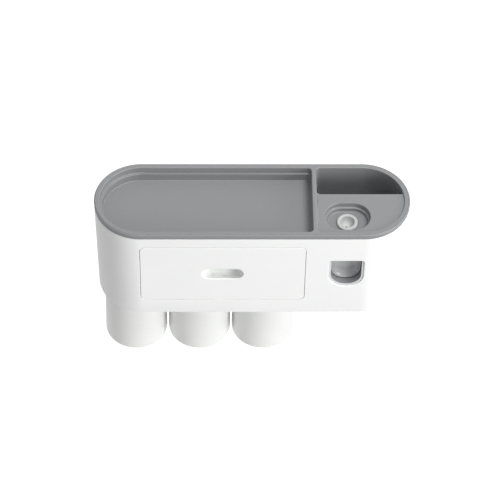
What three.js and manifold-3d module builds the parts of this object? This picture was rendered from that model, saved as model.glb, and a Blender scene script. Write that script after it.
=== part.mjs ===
// Wall-mounted toothbrush holder: a grey tray on a white body with a drawer, a toothpaste dispenser
// worked by a paddle, and three cups that hang upside down from magnets.
// Millimetres, +Z up, wall at y = 0, front toward -Y, x = 0 at the middle of the length.

import * as THREE from "three";
import { mergeVertices } from "three/addons/utils/BufferGeometryUtils.js";
import Module from "manifold-3d";

// Body
const LENGTH = 320; // end to end, at the top
const DEPTH = 95; // wall to front, at the top
const BODY_HEIGHT = 122;
const TAPER = 2; // how much further in the front and the ends stand at the bottom
const WALL = 2.4;
const FOOT_EASE = 1.2; // rounding of the bottom edge
const FIXING_HEIGHT = 68.4; // wall fixing above the bottom edge
const FLOOR = 2.2; // floor under the drawer and the dispenser
const PARTITION = 2; // wall between the drawer and the dispenser
const GAP = 0.3; // between pieces that touch
const SLIDE_GAP = 0.4; // around pieces that slide

// Tray
const RIM_HEIGHT = 6.3;
const RIM_WIDTH = 5.5;
const RIM_EASE = 1;
const TRAY_WALL = 1.9;
const PAN_DEPTH = 16.2;
const PAN_STEP = 8; // wall of the pan above its ledge
const PAN_LEDGE = 2.4;
const PAN_CORNER = 4;
const PAN_FILLET = 3;
const FLOOR_FILLET = 1.6;
const DIVIDER = 3.8;
const DIVIDER_FROM_RIGHT = 97;
const DECK_DROP = 2.5;
const BIN_LEDGE = 1;
const BIN_FROM_FRONT = 56.8; // room for the dispenser in front of the bin
const BIN_DEPTH = 95;
const BIN_TAPER = 2;
const SEAT_LENGTH = 45.8; // oval seat of the toothpaste tube
const SEAT_WIDTH = 34.6;
const SEAT_DEPTH = 10.7;
const SEAT_STEP = 6.1; // wall of the seat above its ledge
const SEAT_LEDGE = 2.1;

// Drawer
const DRAWER_FROM_LEFT = 46.4;
const DRAWER_FROM_RIGHT = 105.8; // room for the dispenser beside the drawer
const DRAWER_HEIGHT = 86.2;
const DRAWER_DROP = 13.6; // below the top edge of the body
const DRAWER_CORNER = 6;
const DRAWER_PANEL = 3; // thickness of the front at its thinnest
const DRAWER_WALL = 1.8;
const DRAWER_SIDE_INSET = 3; // box inside the edges of the front
const DRAWER_BACK_ROOM = 12; // behind the box
const DRAWER_STOP = 4.7; // height of the stops on the back of the box
const GUIDE_HEIGHT = 8;
const GUIDE = 1.6;
const SCOOP_LENGTH = 42.7; // finger scoop
const SCOOP_HEIGHT = 18.8;
const SCOOP_DEPTH = 5.5;
const SCOOP_FILLET = 4.4;

// Dispenser
const TUBE_FROM_RIGHT = 63.7; // axis of the tube and of the outlet
const TUBE_FROM_FRONT = 27.3;
const OUTLET_DROP = 35; // below the top edge of the body
const OUTLET_WIDTH = 36;
const OUTLET_HEIGHT = 42.5;
const OUTLET_CORNER = 3;
const OUTLET_COLLAR = 5; // depth of the opening
const SOCKET = 21.2; // outside of the ring that grips the tube
const SOCKET_MOUTH = 14.4;
const SOCKET_THROAT = 9.6;
const SOCKET_SLEEVE = 16.4;
const SOCKET_FLANGE = 3.2;
const SOCKET_STAND = 0.3; // ring above the floor of its seat
const SOCKET_LENGTH = 11;
const SOCKET_CLEARANCE = 0.9; // around the ring in the tube seat
const FRAME_WALL = 2.4;
const FRAME_CLEARANCE = 1; // on each side of the paddle
const FRAME_FROM_BIN = 6;
const DRIP_ROOM = 2; // between the outlet and the floor of the frame
const DUCT = 4.8; // paste duct
const DUCT_WALL = 2.4;
const PADDLE_WIDTH = 31;
const PADDLE_TOP = 14; // above the wall fixing
const PADDLE_SETBACK = 9.4; // behind the front of the body
const PADDLE_DISH = 4.2;
const PADDLE_RIM = 1.3;
const PADDLE_ARM = 3;
const PIN = 3;
const PIN_HEIGHT = 24.6; // above the wall fixing
const PIN_SETBACK = 18.6;
const BARREL_WALL = 1.5; // around the pin
const VALVE = 8;
const VALVE_LENGTH = 9;
const NOZZLE = 4;
const NOZZLE_ROOT = 6;
const NOZZLE_BORE = 1.6;
const NOZZLE_WALL = 1;
const BULB = 20;
const BULB_LENGTH = 16;
const BULB_WALL = 1.6;
const BULB_FLANGE = 2;
const BULB_CROWN = 0.7; // height of the dome over its radius
const BULB_HEIGHT = -2; // centre, against the wall fixing
const SPRING = 27.2; // mean diameter
const WIRE = 1.2;
const TURNS = 6;

// Cups
const CUPS = 3;
const CUP_FROM_LEFT = 39.4; // axis of the first cup
const CUP_FROM_WALL = 38.5;
const CUP_PITCH = 67.35;
const CUP_MOUTH = 65.6;
const CUP_FOOT = 63.5;
const CUP_HEIGHT = 93.2;
const CUP_WALL = 2;
const CUP_BASE = 5;
const CUP_EASE = 3.5;
const DISC = 22; // steel disc in the foot
const DISC_THICKNESS = 1.2;
const CAP = 30;
const CAP_THICKNESS = 1.2;

// Bottom cover
const COVER = 2.4;
const COVER_RECESS = 2.6; // above the bottom edge of the body
const MAGNET = 20;
const MAGNET_THICKNESS = 3;
const POCKET_WALL = 2;

// Screws and wall fixings
const SCREW = 2.9;
const SCREW_HEAD = 5.6;
const SCREW_HEAD_HEIGHT = 1.8;
const SCREW_LENGTH = 9;
const BOSS_WALL = 2;
const PLATE = 50;
const PLATE_THICKNESS = 1.6;
const PLATE_CORNER = 6;
const PLATE_INSET = 23.9; // axis of each plate inside the sides of the drawer
const PAD_THICKNESS = 0.8;
const PAD_MARGIN = 1.5;
const STUD = 4;
const STUD_HEAD = 8;
const STUD_HEAD_HEIGHT = 2;
const KEYHOLE_DROP = 12;

// Steps in a half circle, large and small
const ARC = 18;
const SMALL_ARC = 8;
const CORNER_ARC = 3;
const QUARTER = [0, Math.PI / 6, Math.PI / 3, Math.PI / 2];
const EASE = [0, Math.PI / 4, Math.PI / 2];

// Levels and places that follow from the sizes
const BOTTOM = -FIXING_HEIGHT;
const TOP = BOTTOM + BODY_HEIGHT;
const MIDDLE_Y = -DEPTH / 2;
const RIM_BOTTOM = TOP + GAP;
const RIM_TOP = RIM_BOTTOM + RIM_HEIGHT;
const INNER_RADIUS = DEPTH / 2 - RIM_WIDTH;
const END_X = LENGTH / 2 - DEPTH / 2;
const PAN_FLOOR = RIM_TOP - PAN_DEPTH;
const PAN_SHELF = RIM_TOP - PAN_STEP;
const DIVIDER_X = LENGTH / 2 - DIVIDER_FROM_RIGHT;
const DECK = RIM_TOP - DECK_DROP;
const SEAT_FLOOR = DECK - SEAT_DEPTH;
const SEAT_SHELF = DECK - SEAT_STEP;
const BIN_FLOOR = DECK - BIN_DEPTH;
const BIN_FRONT = -DEPTH + BIN_FROM_FRONT;
const DRAWER_TOP = TOP - DRAWER_DROP;
const DRAWER_BOTTOM = DRAWER_TOP - DRAWER_HEIGHT;
const DRAWER_LEFT = -LENGTH / 2 + DRAWER_FROM_LEFT;
const DRAWER_RIGHT = LENGTH / 2 - DRAWER_FROM_RIGHT;
const DRAWER_X = (DRAWER_LEFT + DRAWER_RIGHT) / 2;
const DRAWER_Z = (DRAWER_TOP + DRAWER_BOTTOM) / 2;
const FLOOR_TOP = DRAWER_BOTTOM - SLIDE_GAP;
const TUBE_X = LENGTH / 2 - TUBE_FROM_RIGHT;
const TUBE_Y = -DEPTH + TUBE_FROM_FRONT;
const OUTLET_TOP = TOP - OUTLET_DROP;
const OUTLET_BOTTOM = OUTLET_TOP - OUTLET_HEIGHT;
const COVER_BOTTOM = BOTTOM + COVER_RECESS;
const COVER_TOP = COVER_BOTTOM + COVER;
const CUP_TOP = COVER_BOTTOM - GAP;
const CUP_Y = -CUP_FROM_WALL;
const SCREW_HOLE = SCREW + 2 * GAP;
const BOSS = SCREW_HOLE + 2 * BOSS_WALL;
const cupX = (index) => -LENGTH / 2 + CUP_FROM_LEFT + index * CUP_PITCH;
const taperAt = (z) => (TAPER * (TOP - z)) / BODY_HEIGHT;
const frontAt = (z) => -DEPTH + taperAt(z);

const WHITE = 0xf1f1ef;
const GREY = 0x9b9c9d;
const SILICONE = 0xf4f4f0;
const STEEL = 0xb9bbbd;
const CLEAR = 0xdfe4e6;

const wasm = await Module();
wasm.setup();

// Closed geometry to a solid for booleans
function solid(geometry) {
  geometry.deleteAttribute("normal");
  geometry.deleteAttribute("uv");
  const welded = mergeVertices(geometry, 1e-4);
  const corners = welded.index.array;
  const triangles = [];
  for (let i = 0; i < corners.length; i += 3) {
    const [a, b, c] = corners.slice(i, i + 3);
    if (a !== b && b !== c && c !== a) triangles.push(a, b, c);
  }
  const vertProperties = new Float32Array(welded.attributes.position.array);
  const triVerts = new Uint32Array(triangles);
  return new wasm.Manifold(new wasm.Mesh({ numProp: 3, vertProperties, triVerts }));
}

const join = (first, ...others) => others.reduce((sum, part) => sum.add(part), first);
const cut = (first, ...others) => others.reduce((rest, part) => rest.subtract(part), first);

// Points along an arc, angles in degrees
function arc(x, y, radius, from, to, steps) {
  const start = THREE.MathUtils.degToRad(from);
  const end = THREE.MathUtils.degToRad(to);
  return new THREE.EllipseCurve(x, y, radius, radius, start, end).getPoints(steps);
}

// Outlines, counter-clockwise
function stadium(x, y, length, width, steps = ARC) {
  const reach = (length - width) / 2;
  const right = arc(x + reach, y, width / 2, -90, 90, steps);
  const left = arc(x - reach, y, width / 2, 90, 270, steps);
  return [...right, ...left];
}

function roundedRectangle(x0, x1, y0, y1, radius) {
  return [
    ...arc(x1 - radius, y0 + radius, radius, -90, 0, CORNER_ARC),
    ...arc(x1 - radius, y1 - radius, radius, 0, 90, CORNER_ARC),
    ...arc(x0 + radius, y1 - radius, radius, 90, 180, CORNER_ARC),
    ...arc(x0 + radius, y0 + radius, radius, 180, 270, CORNER_ARC),
  ];
}

// Flat top with eased corners, half-round bottom
function arch(x, top, bottom, width, corner) {
  const radius = width / 2;
  return [
    ...arc(x, bottom + radius, radius, 180, 360, ARC),
    ...arc(x + radius - corner, top - corner, corner, 0, 90, CORNER_ARC),
    ...arc(x - radius + corner, top - corner, corner, 90, 180, CORNER_ARC),
  ];
}

const circle = (x, y, diameter, steps = ARC) => arc(x, y, diameter / 2, 0, 360, steps).slice(1);

// Outline in plan, raised from z0 to z1
function plan(outline, z0, z1) {
  const shape = new THREE.Shape(outline);
  const geometry = new THREE.ExtrudeGeometry(shape, { depth: z1 - z0, bevelEnabled: false });
  return solid(geometry.translate(0, 0, z0));
}

// Outline in front view, run from y0 to y1
function front(outline, y0, y1) {
  const shape = new THREE.Shape(outline);
  const geometry = new THREE.ExtrudeGeometry(shape, { depth: y1 - y0, bevelEnabled: false });
  return solid(geometry.rotateX(Math.PI / 2).translate(0, y1, 0));
}

// Outline in side view, y and z, run from x0 to x1
function side(outline, x0, x1) {
  const shape = new THREE.Shape(outline);
  const geometry = new THREE.ExtrudeGeometry(shape, { depth: x1 - x0, bevelEnabled: false });
  const y = new THREE.Vector3(0, 1, 0);
  const z = new THREE.Vector3(0, 0, 1);
  const x = new THREE.Vector3(1, 0, 0);
  geometry.applyMatrix4(new THREE.Matrix4().makeBasis(y, z, x));
  return solid(geometry.translate(x0, 0, 0));
}

function block(x0, x1, y0, y1, z0, z1) {
  const geometry = new THREE.BoxGeometry(x1 - x0, y1 - y0, z1 - z0);
  return solid(geometry.translate((x0 + x1) / 2, (y0 + y1) / 2, (z0 + z1) / 2));
}

// Skin through a stack of outlines with equal numbers of points, lowest first
function skin(sections) {
  const count = sections[0][0].length;
  const positions = sections.flatMap(([outline, z]) => outline.flatMap((p) => [p.x, p.y, z]));
  const index = [];
  for (let ring = 0; ring + 1 < sections.length; ring++) {
    for (let i = 0; i < count; i++) {
      const a = ring * count + i;
      const b = ring * count + ((i + 1) % count);
      index.push(a, b, b + count, a, b + count, a + count);
    }
  }
  const last = (sections.length - 1) * count;
  for (const [a, b, c] of THREE.ShapeUtils.triangulateShape(sections[0][0], [])) index.push(c, b, a);
  for (const face of THREE.ShapeUtils.triangulateShape(sections.at(-1)[0], [])) {
    index.push(...face.map((i) => i + last));
  }
  const geometry = new THREE.BufferGeometry();
  geometry.setAttribute("position", new THREE.Float32BufferAttribute(positions, 3));
  geometry.setIndex(index);
  return geometry;
}

const loft = (sections) => solid(skin(sections));

// The same through outlines in front view, foremost first
function frontLoft(sections) {
  const stacked = sections.map(([outline, y]) => [outline, -y]).reverse();
  return solid(skin(stacked).rotateX(Math.PI / 2));
}

// Pocket sunk from a surface, its mouth eased and its floor filleted; outline takes an inset
function pocket(outline, top, floor, ease, fillet, taper = 0) {
  const low = (fillet ? EASE : [0]).map((t) => [
    outline(taper + fillet * (1 - Math.sin(t))),
    floor + fillet * (1 - Math.cos(t)),
  ]);
  const high = (ease ? EASE : []).map((t) => [
    outline(-ease * (1 - Math.cos(t))),
    top - ease * (1 - Math.sin(t)),
  ]);
  return loft([...low, ...high, [outline(-ease), top + 1]]);
}

// Profile of radius and height, turned about an upright axis
function turned(profile, x, y, steps = 2 * ARC) {
  const points = profile.map(([radius, height]) => new THREE.Vector2(radius, height));
  return solid(new THREE.LatheGeometry(points, steps).rotateX(Math.PI / 2).translate(x, y, 0));
}

// The same about an axis along Y, heights measured along +Y
function turnedAlongY(profile, x, z, steps = 2 * SMALL_ARC) {
  const points = profile.map(([radius, height]) => new THREE.Vector2(radius, height));
  return solid(new THREE.LatheGeometry(points, steps).translate(x, 0, z));
}

const upright = (x, y, diameter, z0, z1) => plan(circle(x, y, diameter, 2 * SMALL_ARC), z0, z1);
const alongY = (x, z, diameter, y0, y1) => front(circle(x, z, diameter, 2 * SMALL_ARC), y0, y1);
const alongX = (y, z, diameter, x0, x1) => side(circle(y, z, diameter, 2 * SMALL_ARC), x0, x1);

const group = new THREE.Group();
group.name = "toothbrush_holder";

function add(name, body, color, roughness, metalness = 0) {
  const mesh = body.getMesh();
  const geometry = new THREE.BufferGeometry();
  geometry.setAttribute("position", new THREE.BufferAttribute(mesh.vertProperties, 3));
  geometry.setIndex(new THREE.BufferAttribute(mesh.triVerts, 1));
  geometry.computeVertexNormals();
  const material = new THREE.MeshStandardMaterial({ color, roughness, metalness });
  material.name = name;
  const piece = new THREE.Mesh(geometry, material);
  piece.name = name;
  group.add(piece);
}

// Screw with its head against z = 0 and its shank up +Z
const SCREW_PROFILE = [
  [0, -SCREW_HEAD_HEIGHT],
  [SCREW_HEAD / 2, -SCREW_HEAD_HEIGHT],
  [SCREW_HEAD / 2, 0],
  [SCREW / 2, 0],
  [SCREW / 2, SCREW_LENGTH - SCREW],
  [0, SCREW_LENGTH],
];

// Body shell: the places that its screws and fixings share with other pieces
const coverScrews = [];
for (const x of [cupX(0.5), TUBE_X]) {
  for (const sign of [-1, 1]) coverScrews.push([x, CUP_Y + sign * (CUP_MOUTH / 2 - BOSS)]);
}
const FRAME_HALF = PADDLE_WIDTH / 2 + FRAME_CLEARANCE; // inside half width of the dispenser frame
const FRAME_FRONT = frontAt(OUTLET_BOTTOM) + OUTLET_COLLAR + GAP;
const FRAME_BACK = BIN_FRONT - TRAY_WALL - FRAME_FROM_BIN;
const EAR = BOSS + BOSS_WALL;
const EAR_X = FRAME_HALF + FRAME_WALL + EAR / 2;
const EAR_Y = FRAME_BACK - EAR / 2;
const frameScrews = [-1, 1].map((sign) => [TUBE_X + sign * EAR_X, EAR_Y]);
const plates = [DRAWER_LEFT + PLATE_INSET, DRAWER_RIGHT - PLATE_INSET];
const PLATE_RECESS = PAD_THICKNESS + PLATE_THICKNESS + 2 * GAP;

function bodyOutline(z, inset) {
  const depth = DEPTH - taperAt(z);
  return stadium(0, -depth / 2, LENGTH - 2 * taperAt(z) - 2 * inset, depth - 2 * inset);
}

const bodyEase = EASE.map((t) => {
  const z = BOTTOM + FOOT_EASE * (1 - Math.cos(t));
  return [bodyOutline(z, FOOT_EASE * (1 - Math.sin(t))), z];
});
const envelope = loft([...bodyEase, [bodyOutline(TOP, 0), TOP]]);
const inside = loft([
  [bodyOutline(BOTTOM - 1, WALL), BOTTOM - 1],
  [bodyOutline(TOP + 1, WALL), TOP + 1],
]);
const drawerOpening = roundedRectangle(
  DRAWER_LEFT - SLIDE_GAP,
  DRAWER_RIGHT + SLIDE_GAP,
  DRAWER_BOTTOM - SLIDE_GAP,
  DRAWER_TOP + SLIDE_GAP,
  DRAWER_CORNER + SLIDE_GAP,
);
const outlet = arch(TUBE_X, OUTLET_TOP, OUTLET_BOTTOM, OUTLET_WIDTH, OUTLET_CORNER);
const collar = arch(
  TUBE_X,
  OUTLET_TOP + WALL,
  OUTLET_BOTTOM - WALL,
  OUTLET_WIDTH + 2 * WALL,
  OUTLET_CORNER + WALL,
);
const PANEL_BACK = frontAt(DRAWER_BOTTOM) + DRAWER_PANEL;
const BOX_FRONT = PANEL_BACK + GAP;
const BOX_BACK = -DRAWER_BACK_ROOM;
const BOX_LEFT = DRAWER_LEFT + DRAWER_SIDE_INSET;
const BOX_RIGHT = DRAWER_RIGHT - DRAWER_SIDE_INSET;
const BOX_BOTTOM = FLOOR_TOP + GAP;
const BOX_TOP = DRAWER_TOP - DRAWER_SIDE_INSET;
const PARTITION_LEFT = DRAWER_RIGHT + SLIDE_GAP + DRAWER_SIDE_INSET;

let shell = cut(envelope, inside);
const within = (part) => part.intersect(envelope);
shell = shell.add(within(plan(bodyOutline(FLOOR_TOP, WALL / 2), FLOOR_TOP - FLOOR, FLOOR_TOP)));
shell = shell.add(within(block(
  PARTITION_LEFT, PARTITION_LEFT + PARTITION,
  -DEPTH, 0,
  FLOOR_TOP - FLOOR, PAN_FLOOR - TRAY_WALL - SLIDE_GAP,
)));
shell = shell.add(within(front(collar, -DEPTH - 1, frontAt(OUTLET_BOTTOM) + OUTLET_COLLAR)));
for (const x of [BOX_LEFT - SLIDE_GAP - GUIDE, BOX_RIGHT + SLIDE_GAP]) {
  shell = shell.add(block(x, x + GUIDE, BOX_FRONT, BOX_BACK, FLOOR_TOP - FLOOR, FLOOR_TOP + GUIDE_HEIGHT));
}
for (const [x, y] of coverScrews) {
  shell = shell.add(upright(x, y, BOSS, COVER_TOP + GAP, FLOOR_TOP - FLOOR / 2));
}
for (const [x, y] of frameScrews) {
  shell = shell.add(upright(x, y, BOSS, FLOOR_TOP - SCREW_LENGTH - GAP, FLOOR_TOP - FLOOR / 2));
}
for (const x of plates) {
  const half = PLATE / 2 + GAP + WALL;
  shell = shell.add(block(x - half, x + half, -PLATE_RECESS - WALL, -WALL / 2, -half, half));
}
shell = cut(
  shell,
  front(drawerOpening, -DEPTH - 1, PANEL_BACK + GAP),
  front(outlet, -DEPTH - 1, FRAME_FRONT),
);
for (const [x, y] of coverScrews) {
  shell = shell.subtract(upright(x, y, SCREW_HOLE, BOTTOM, COVER_TOP + SCREW_LENGTH));
}
for (const [x, y] of frameScrews) {
  shell = shell.subtract(upright(x, y, SCREW_HOLE, BOTTOM, FLOOR_TOP + 1));
}
for (const x of plates) {
  const half = PLATE / 2 + GAP;
  const neck = STUD + 2 * GAP;
  const recess = roundedRectangle(x - half, x + half, -half, half, PLATE_CORNER + GAP);
  const back = -PLATE_RECESS - WALL - 1;
  shell = cut(
    shell,
    front(recess, -PLATE_RECESS, 1),
    alongY(x, 0, neck, back, 1),
    alongY(x, -KEYHOLE_DROP, STUD_HEAD + 2 * SLIDE_GAP, back, 1),
    block(x - neck / 2, x + neck / 2, back, 1, -KEYHOLE_DROP, 0),
  );
}
add("body_shell", shell, WHITE, 0.42);

// Wall plates: adhesive pad on the wall, plate with the stud that the body hangs on
plates.forEach((x, index) => {
  const pad = PLATE / 2 - PAD_MARGIN;
  const half = PLATE / 2;
  const plateFront = -PAD_THICKNESS - GAP - PLATE_THICKNESS;
  const padOutline = roundedRectangle(x - pad, x + pad, -pad, pad, PLATE_CORNER - PAD_MARGIN);
  const plateOutline = roundedRectangle(x - half, x + half, -half, half, PLATE_CORNER);
  const headBack = -PLATE_RECESS - WALL - GAP;
  const plate = join(
    front(plateOutline, plateFront, plateFront + PLATE_THICKNESS),
    alongY(x, 0, STUD, headBack - STUD_HEAD_HEIGHT / 2, plateFront + PLATE_THICKNESS / 2),
    alongY(x, 0, STUD_HEAD, headBack - STUD_HEAD_HEIGHT, headBack),
  );
  add(`adhesive_pad_${index + 1}`, front(padOutline, -PAD_THICKNESS, 0), CLEAR, 0.6);
  add(`wall_plate_${index + 1}`, plate, CLEAR, 0.25);
});

// Bottom cover: closes the body and carries a magnet over each cup
let cover = plan(bodyOutline(COVER_BOTTOM, WALL + GAP), COVER_BOTTOM, COVER_TOP);
const MAGNET_HOLE = MAGNET + 2 * GAP;
const POCKET_TOP = COVER_TOP + MAGNET_THICKNESS + CAP_THICKNESS + 2 * GAP;
for (let i = 0; i < CUPS; i++) {
  const rim = upright(cupX(i), CUP_Y, MAGNET_HOLE + 2 * POCKET_WALL, COVER_BOTTOM, POCKET_TOP);
  cover = cover.add(rim).subtract(upright(cupX(i), CUP_Y, MAGNET_HOLE, COVER_TOP, POCKET_TOP + 1));
}
for (const [x, y] of coverScrews) {
  cover = cover.subtract(upright(x, y, SCREW_HOLE, BOTTOM, COVER_TOP + 1));
}
add("bottom_cover", cover, WHITE, 0.45);

for (let i = 0; i < CUPS; i++) {
  const magnet = COVER_TOP + GAP;
  const cap = magnet + MAGNET_THICKNESS + GAP;
  const disc = upright(cupX(i), CUP_Y, MAGNET, magnet, magnet + MAGNET_THICKNESS);
  const lid = upright(cupX(i), CUP_Y, MAGNET, cap, cap + CAP_THICKNESS);
  add(`seat_magnet_${i + 1}`, disc, STEEL, 0.3, 1);
  add(`magnet_cap_${i + 1}`, lid, WHITE, 0.5);
}
coverScrews.forEach(([x, y], index) => {
  const screw = turned(SCREW_PROFILE, x, y, SMALL_ARC).translate(0, 0, COVER_BOTTOM - GAP / 2);
  add(`cover_screw_${index + 1}`, screw, STEEL, 0.35, 1);
});

// Tray: rim, pan, divider, deck with the oval tube seat, and the deep bin, in one moulding
function panOutline(inset, ledge = 0) {
  const radius = INNER_RADIUS - inset - ledge;
  const corner = PAN_CORNER - inset;
  const right = DIVIDER_X - DIVIDER / 2 - inset;
  return [
    ...arc(right - corner, MIDDLE_Y - radius + corner, corner, -90, 0, CORNER_ARC),
    ...arc(right - corner, MIDDLE_Y + radius - corner, corner, 0, 90, CORNER_ARC),
    ...arc(-END_X, MIDDLE_Y, radius, 90, 270, ARC),
  ];
}

const panFoot = (inset) => panOutline(inset, PAN_LEDGE);

function deckOutline(inset) {
  const radius = INNER_RADIUS - inset;
  const corner = PAN_CORNER - inset;
  const left = DIVIDER_X + DIVIDER / 2 + inset;
  return [
    ...arc(END_X, MIDDLE_Y, radius, -90, 90, ARC),
    ...arc(left + corner, MIDDLE_Y + radius - corner, corner, 90, 180, CORNER_ARC),
    ...arc(left + corner, MIDDLE_Y - radius + corner, corner, 180, 270, CORNER_ARC),
  ];
}

function binOutline(inset) {
  const radius = INNER_RADIUS - inset;
  const corner = PAN_CORNER - inset;
  const left = DIVIDER_X + DIVIDER / 2 + BIN_LEDGE + inset;
  const low = BIN_FRONT + inset;
  const start = THREE.MathUtils.radToDeg(Math.asin((low - MIDDLE_Y) / radius));
  return [
    ...arc(END_X, MIDDLE_Y, radius, start, 90, SMALL_ARC),
    ...arc(left + corner, MIDDLE_Y + radius - corner, corner, 90, 180, CORNER_ARC),
    ...arc(left + corner, low + corner, corner, 180, 270, CORNER_ARC),
  ];
}

const seatOutline = (inset) =>
  stadium(TUBE_X, TUBE_Y, SEAT_LENGTH - 2 * inset, SEAT_WIDTH - 2 * inset, SMALL_ARC);
const seatFoot = (inset) => seatOutline(inset + SEAT_LEDGE);
const rimOutline = (inset) => stadium(0, MIDDLE_Y, LENGTH - 2 * inset, DEPTH - 2 * inset);
const rimEase = EASE.map((t) => [
  rimOutline(RIM_EASE * (1 - Math.cos(t))),
  RIM_TOP - RIM_EASE * (1 - Math.sin(t)),
]);
const SEAT_HOLE = SOCKET + 2 * SOCKET_CLEARANCE;
const rim = cut(
  loft([[rimOutline(0), RIM_BOTTOM], ...rimEase]),
  plan(rimOutline(RIM_WIDTH), RIM_BOTTOM - 1, RIM_TOP + 1),
);
const binOutside = loft([
  [binOutline(BIN_TAPER - TRAY_WALL), BIN_FLOOR - TRAY_WALL],
  [binOutline(-TRAY_WALL), DECK],
]);
const tray = cut(
  join(
    rim,
    plan(panOutline(-TRAY_WALL), PAN_SHELF - TRAY_WALL, RIM_TOP - RIM_EASE),
    plan(panFoot(-TRAY_WALL), PAN_FLOOR - TRAY_WALL, PAN_SHELF),
    block(
      DIVIDER_X - DIVIDER / 2, DIVIDER_X + DIVIDER / 2,
      MIDDLE_Y - INNER_RADIUS - TRAY_WALL, MIDDLE_Y + INNER_RADIUS + TRAY_WALL,
      PAN_FLOOR - TRAY_WALL, RIM_TOP,
    ).intersect(plan(panOutline(-DIVIDER), BOTTOM, RIM_TOP)),
    plan(deckOutline(-TRAY_WALL), DECK - TRAY_WALL, DECK),
    plan(seatOutline(-TRAY_WALL), SEAT_SHELF - TRAY_WALL, DECK),
    plan(seatFoot(-TRAY_WALL), SEAT_FLOOR - TRAY_WALL, SEAT_SHELF),
    binOutside,
  ),
  pocket(panOutline, RIM_TOP, PAN_SHELF, RIM_EASE, 0),
  pocket(panFoot, PAN_SHELF, PAN_FLOOR, 0, PAN_FILLET),
  pocket(deckOutline, RIM_TOP, DECK, RIM_EASE, RIM_EASE),
  pocket(seatOutline, DECK, SEAT_SHELF, RIM_EASE, 0),
  pocket(seatFoot, SEAT_SHELF, SEAT_FLOOR, 0, FLOOR_FILLET),
  pocket(binOutline, DECK, BIN_FLOOR, RIM_EASE, FLOOR_FILLET, BIN_TAPER),
  upright(TUBE_X, TUBE_Y, SEAT_HOLE, SEAT_FLOOR - TRAY_WALL - 1, DECK),
);
add("top_tray", tray, GREY, 0.5);

// Drawer: front panel with the finger scoop, box behind it, two screws between them
const scoop = (inset) =>
  stadium(DRAWER_X, DRAWER_Z, SCOOP_LENGTH - 2 * inset, SCOOP_HEIGHT - 2 * inset, SMALL_ARC);
const scoopFloor = frontAt(DRAWER_Z) + SCOOP_DEPTH;
function scoopLoft(grow, back) {
  const hollow = QUARTER.map((t) => [
    scoop(SCOOP_FILLET * (1 - Math.cos(t)) - grow),
    back - SCOOP_FILLET * (1 - Math.sin(t)),
  ]);
  return frontLoft([[scoop(-grow), -DEPTH - 1], ...hollow]);
}
const drawerOutline = roundedRectangle(
  DRAWER_LEFT,
  DRAWER_RIGHT,
  DRAWER_BOTTOM,
  DRAWER_TOP,
  DRAWER_CORNER,
);
const drawerScrews = [-1, 1].map((sign) => DRAWER_X + sign * ((DRAWER_RIGHT - DRAWER_LEFT) / 2 - BOSS * 3));
const DRAWER_SCREW_REACH = DRAWER_WALL + GAP + DRAWER_PANEL - GAP * 4;
let drawerFront = within(join(
  front(drawerOutline, -DEPTH - 1, PANEL_BACK),
  scoopLoft(DRAWER_WALL, scoopFloor + DRAWER_WALL),
)).subtract(scoopLoft(0, scoopFloor));
for (const x of drawerScrews) {
  const deep = BOX_FRONT + DRAWER_WALL - DRAWER_SCREW_REACH - GAP;
  drawerFront = drawerFront.subtract(alongY(x, DRAWER_Z, SCREW_HOLE, deep, PANEL_BACK + 1));
}
add("drawer_front", drawerFront, WHITE, 0.42);

// Box with round lower edges, open above; inset takes in its sides and floor
function boxOutline(inset, top) {
  const radius = DRAWER_CORNER - inset;
  const low = BOX_BOTTOM + DRAWER_CORNER;
  return [
    ...arc(BOX_LEFT + DRAWER_CORNER, low, radius, 180, 270, CORNER_ARC),
    ...arc(BOX_RIGHT - DRAWER_CORNER, low, radius, 270, 360, CORNER_ARC),
    new THREE.Vector2(BOX_RIGHT - inset, top),
    new THREE.Vector2(BOX_LEFT + inset, top),
  ];
}
let drawerBox = cut(
  front(boxOutline(0, BOX_TOP), BOX_FRONT, BOX_BACK),
  front(boxOutline(DRAWER_WALL, BOX_TOP + 1), BOX_FRONT + DRAWER_WALL, BOX_BACK - DRAWER_WALL),
  front(scoop(-DRAWER_WALL - GAP), BOX_FRONT - 1, BOX_FRONT + DRAWER_WALL + 1),
);
for (const x of drawerScrews) {
  const stop = block(
    x - BOSS, x + BOSS,
    BOX_BACK - DRAWER_WALL, BOX_BACK,
    BOX_BOTTOM, BOX_TOP + DRAWER_STOP,
  );
  const hole = alongY(x, DRAWER_Z, SCREW_HOLE, BOX_FRONT - 1, BOX_FRONT + DRAWER_WALL + 1);
  drawerBox = drawerBox.add(stop).subtract(hole);
}
add("drawer_box", drawerBox, WHITE, 0.48);

drawerScrews.forEach((x, index) => {
  const seat = BOX_FRONT + DRAWER_WALL + GAP / 2;
  const screw = turnedAlongY([
    [0, seat - DRAWER_SCREW_REACH],
    [SCREW / 2, seat - DRAWER_SCREW_REACH],
    [SCREW / 2, seat],
    [SCREW_HEAD / 2, seat],
    [SCREW_HEAD / 2, seat + SCREW_HEAD_HEIGHT],
    [0, seat + SCREW_HEAD_HEIGHT],
  ], x, DRAWER_Z, SMALL_ARC);
  add(`drawer_screw_${index + 1}`, screw, STEEL, 0.35, 1);
});

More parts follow.
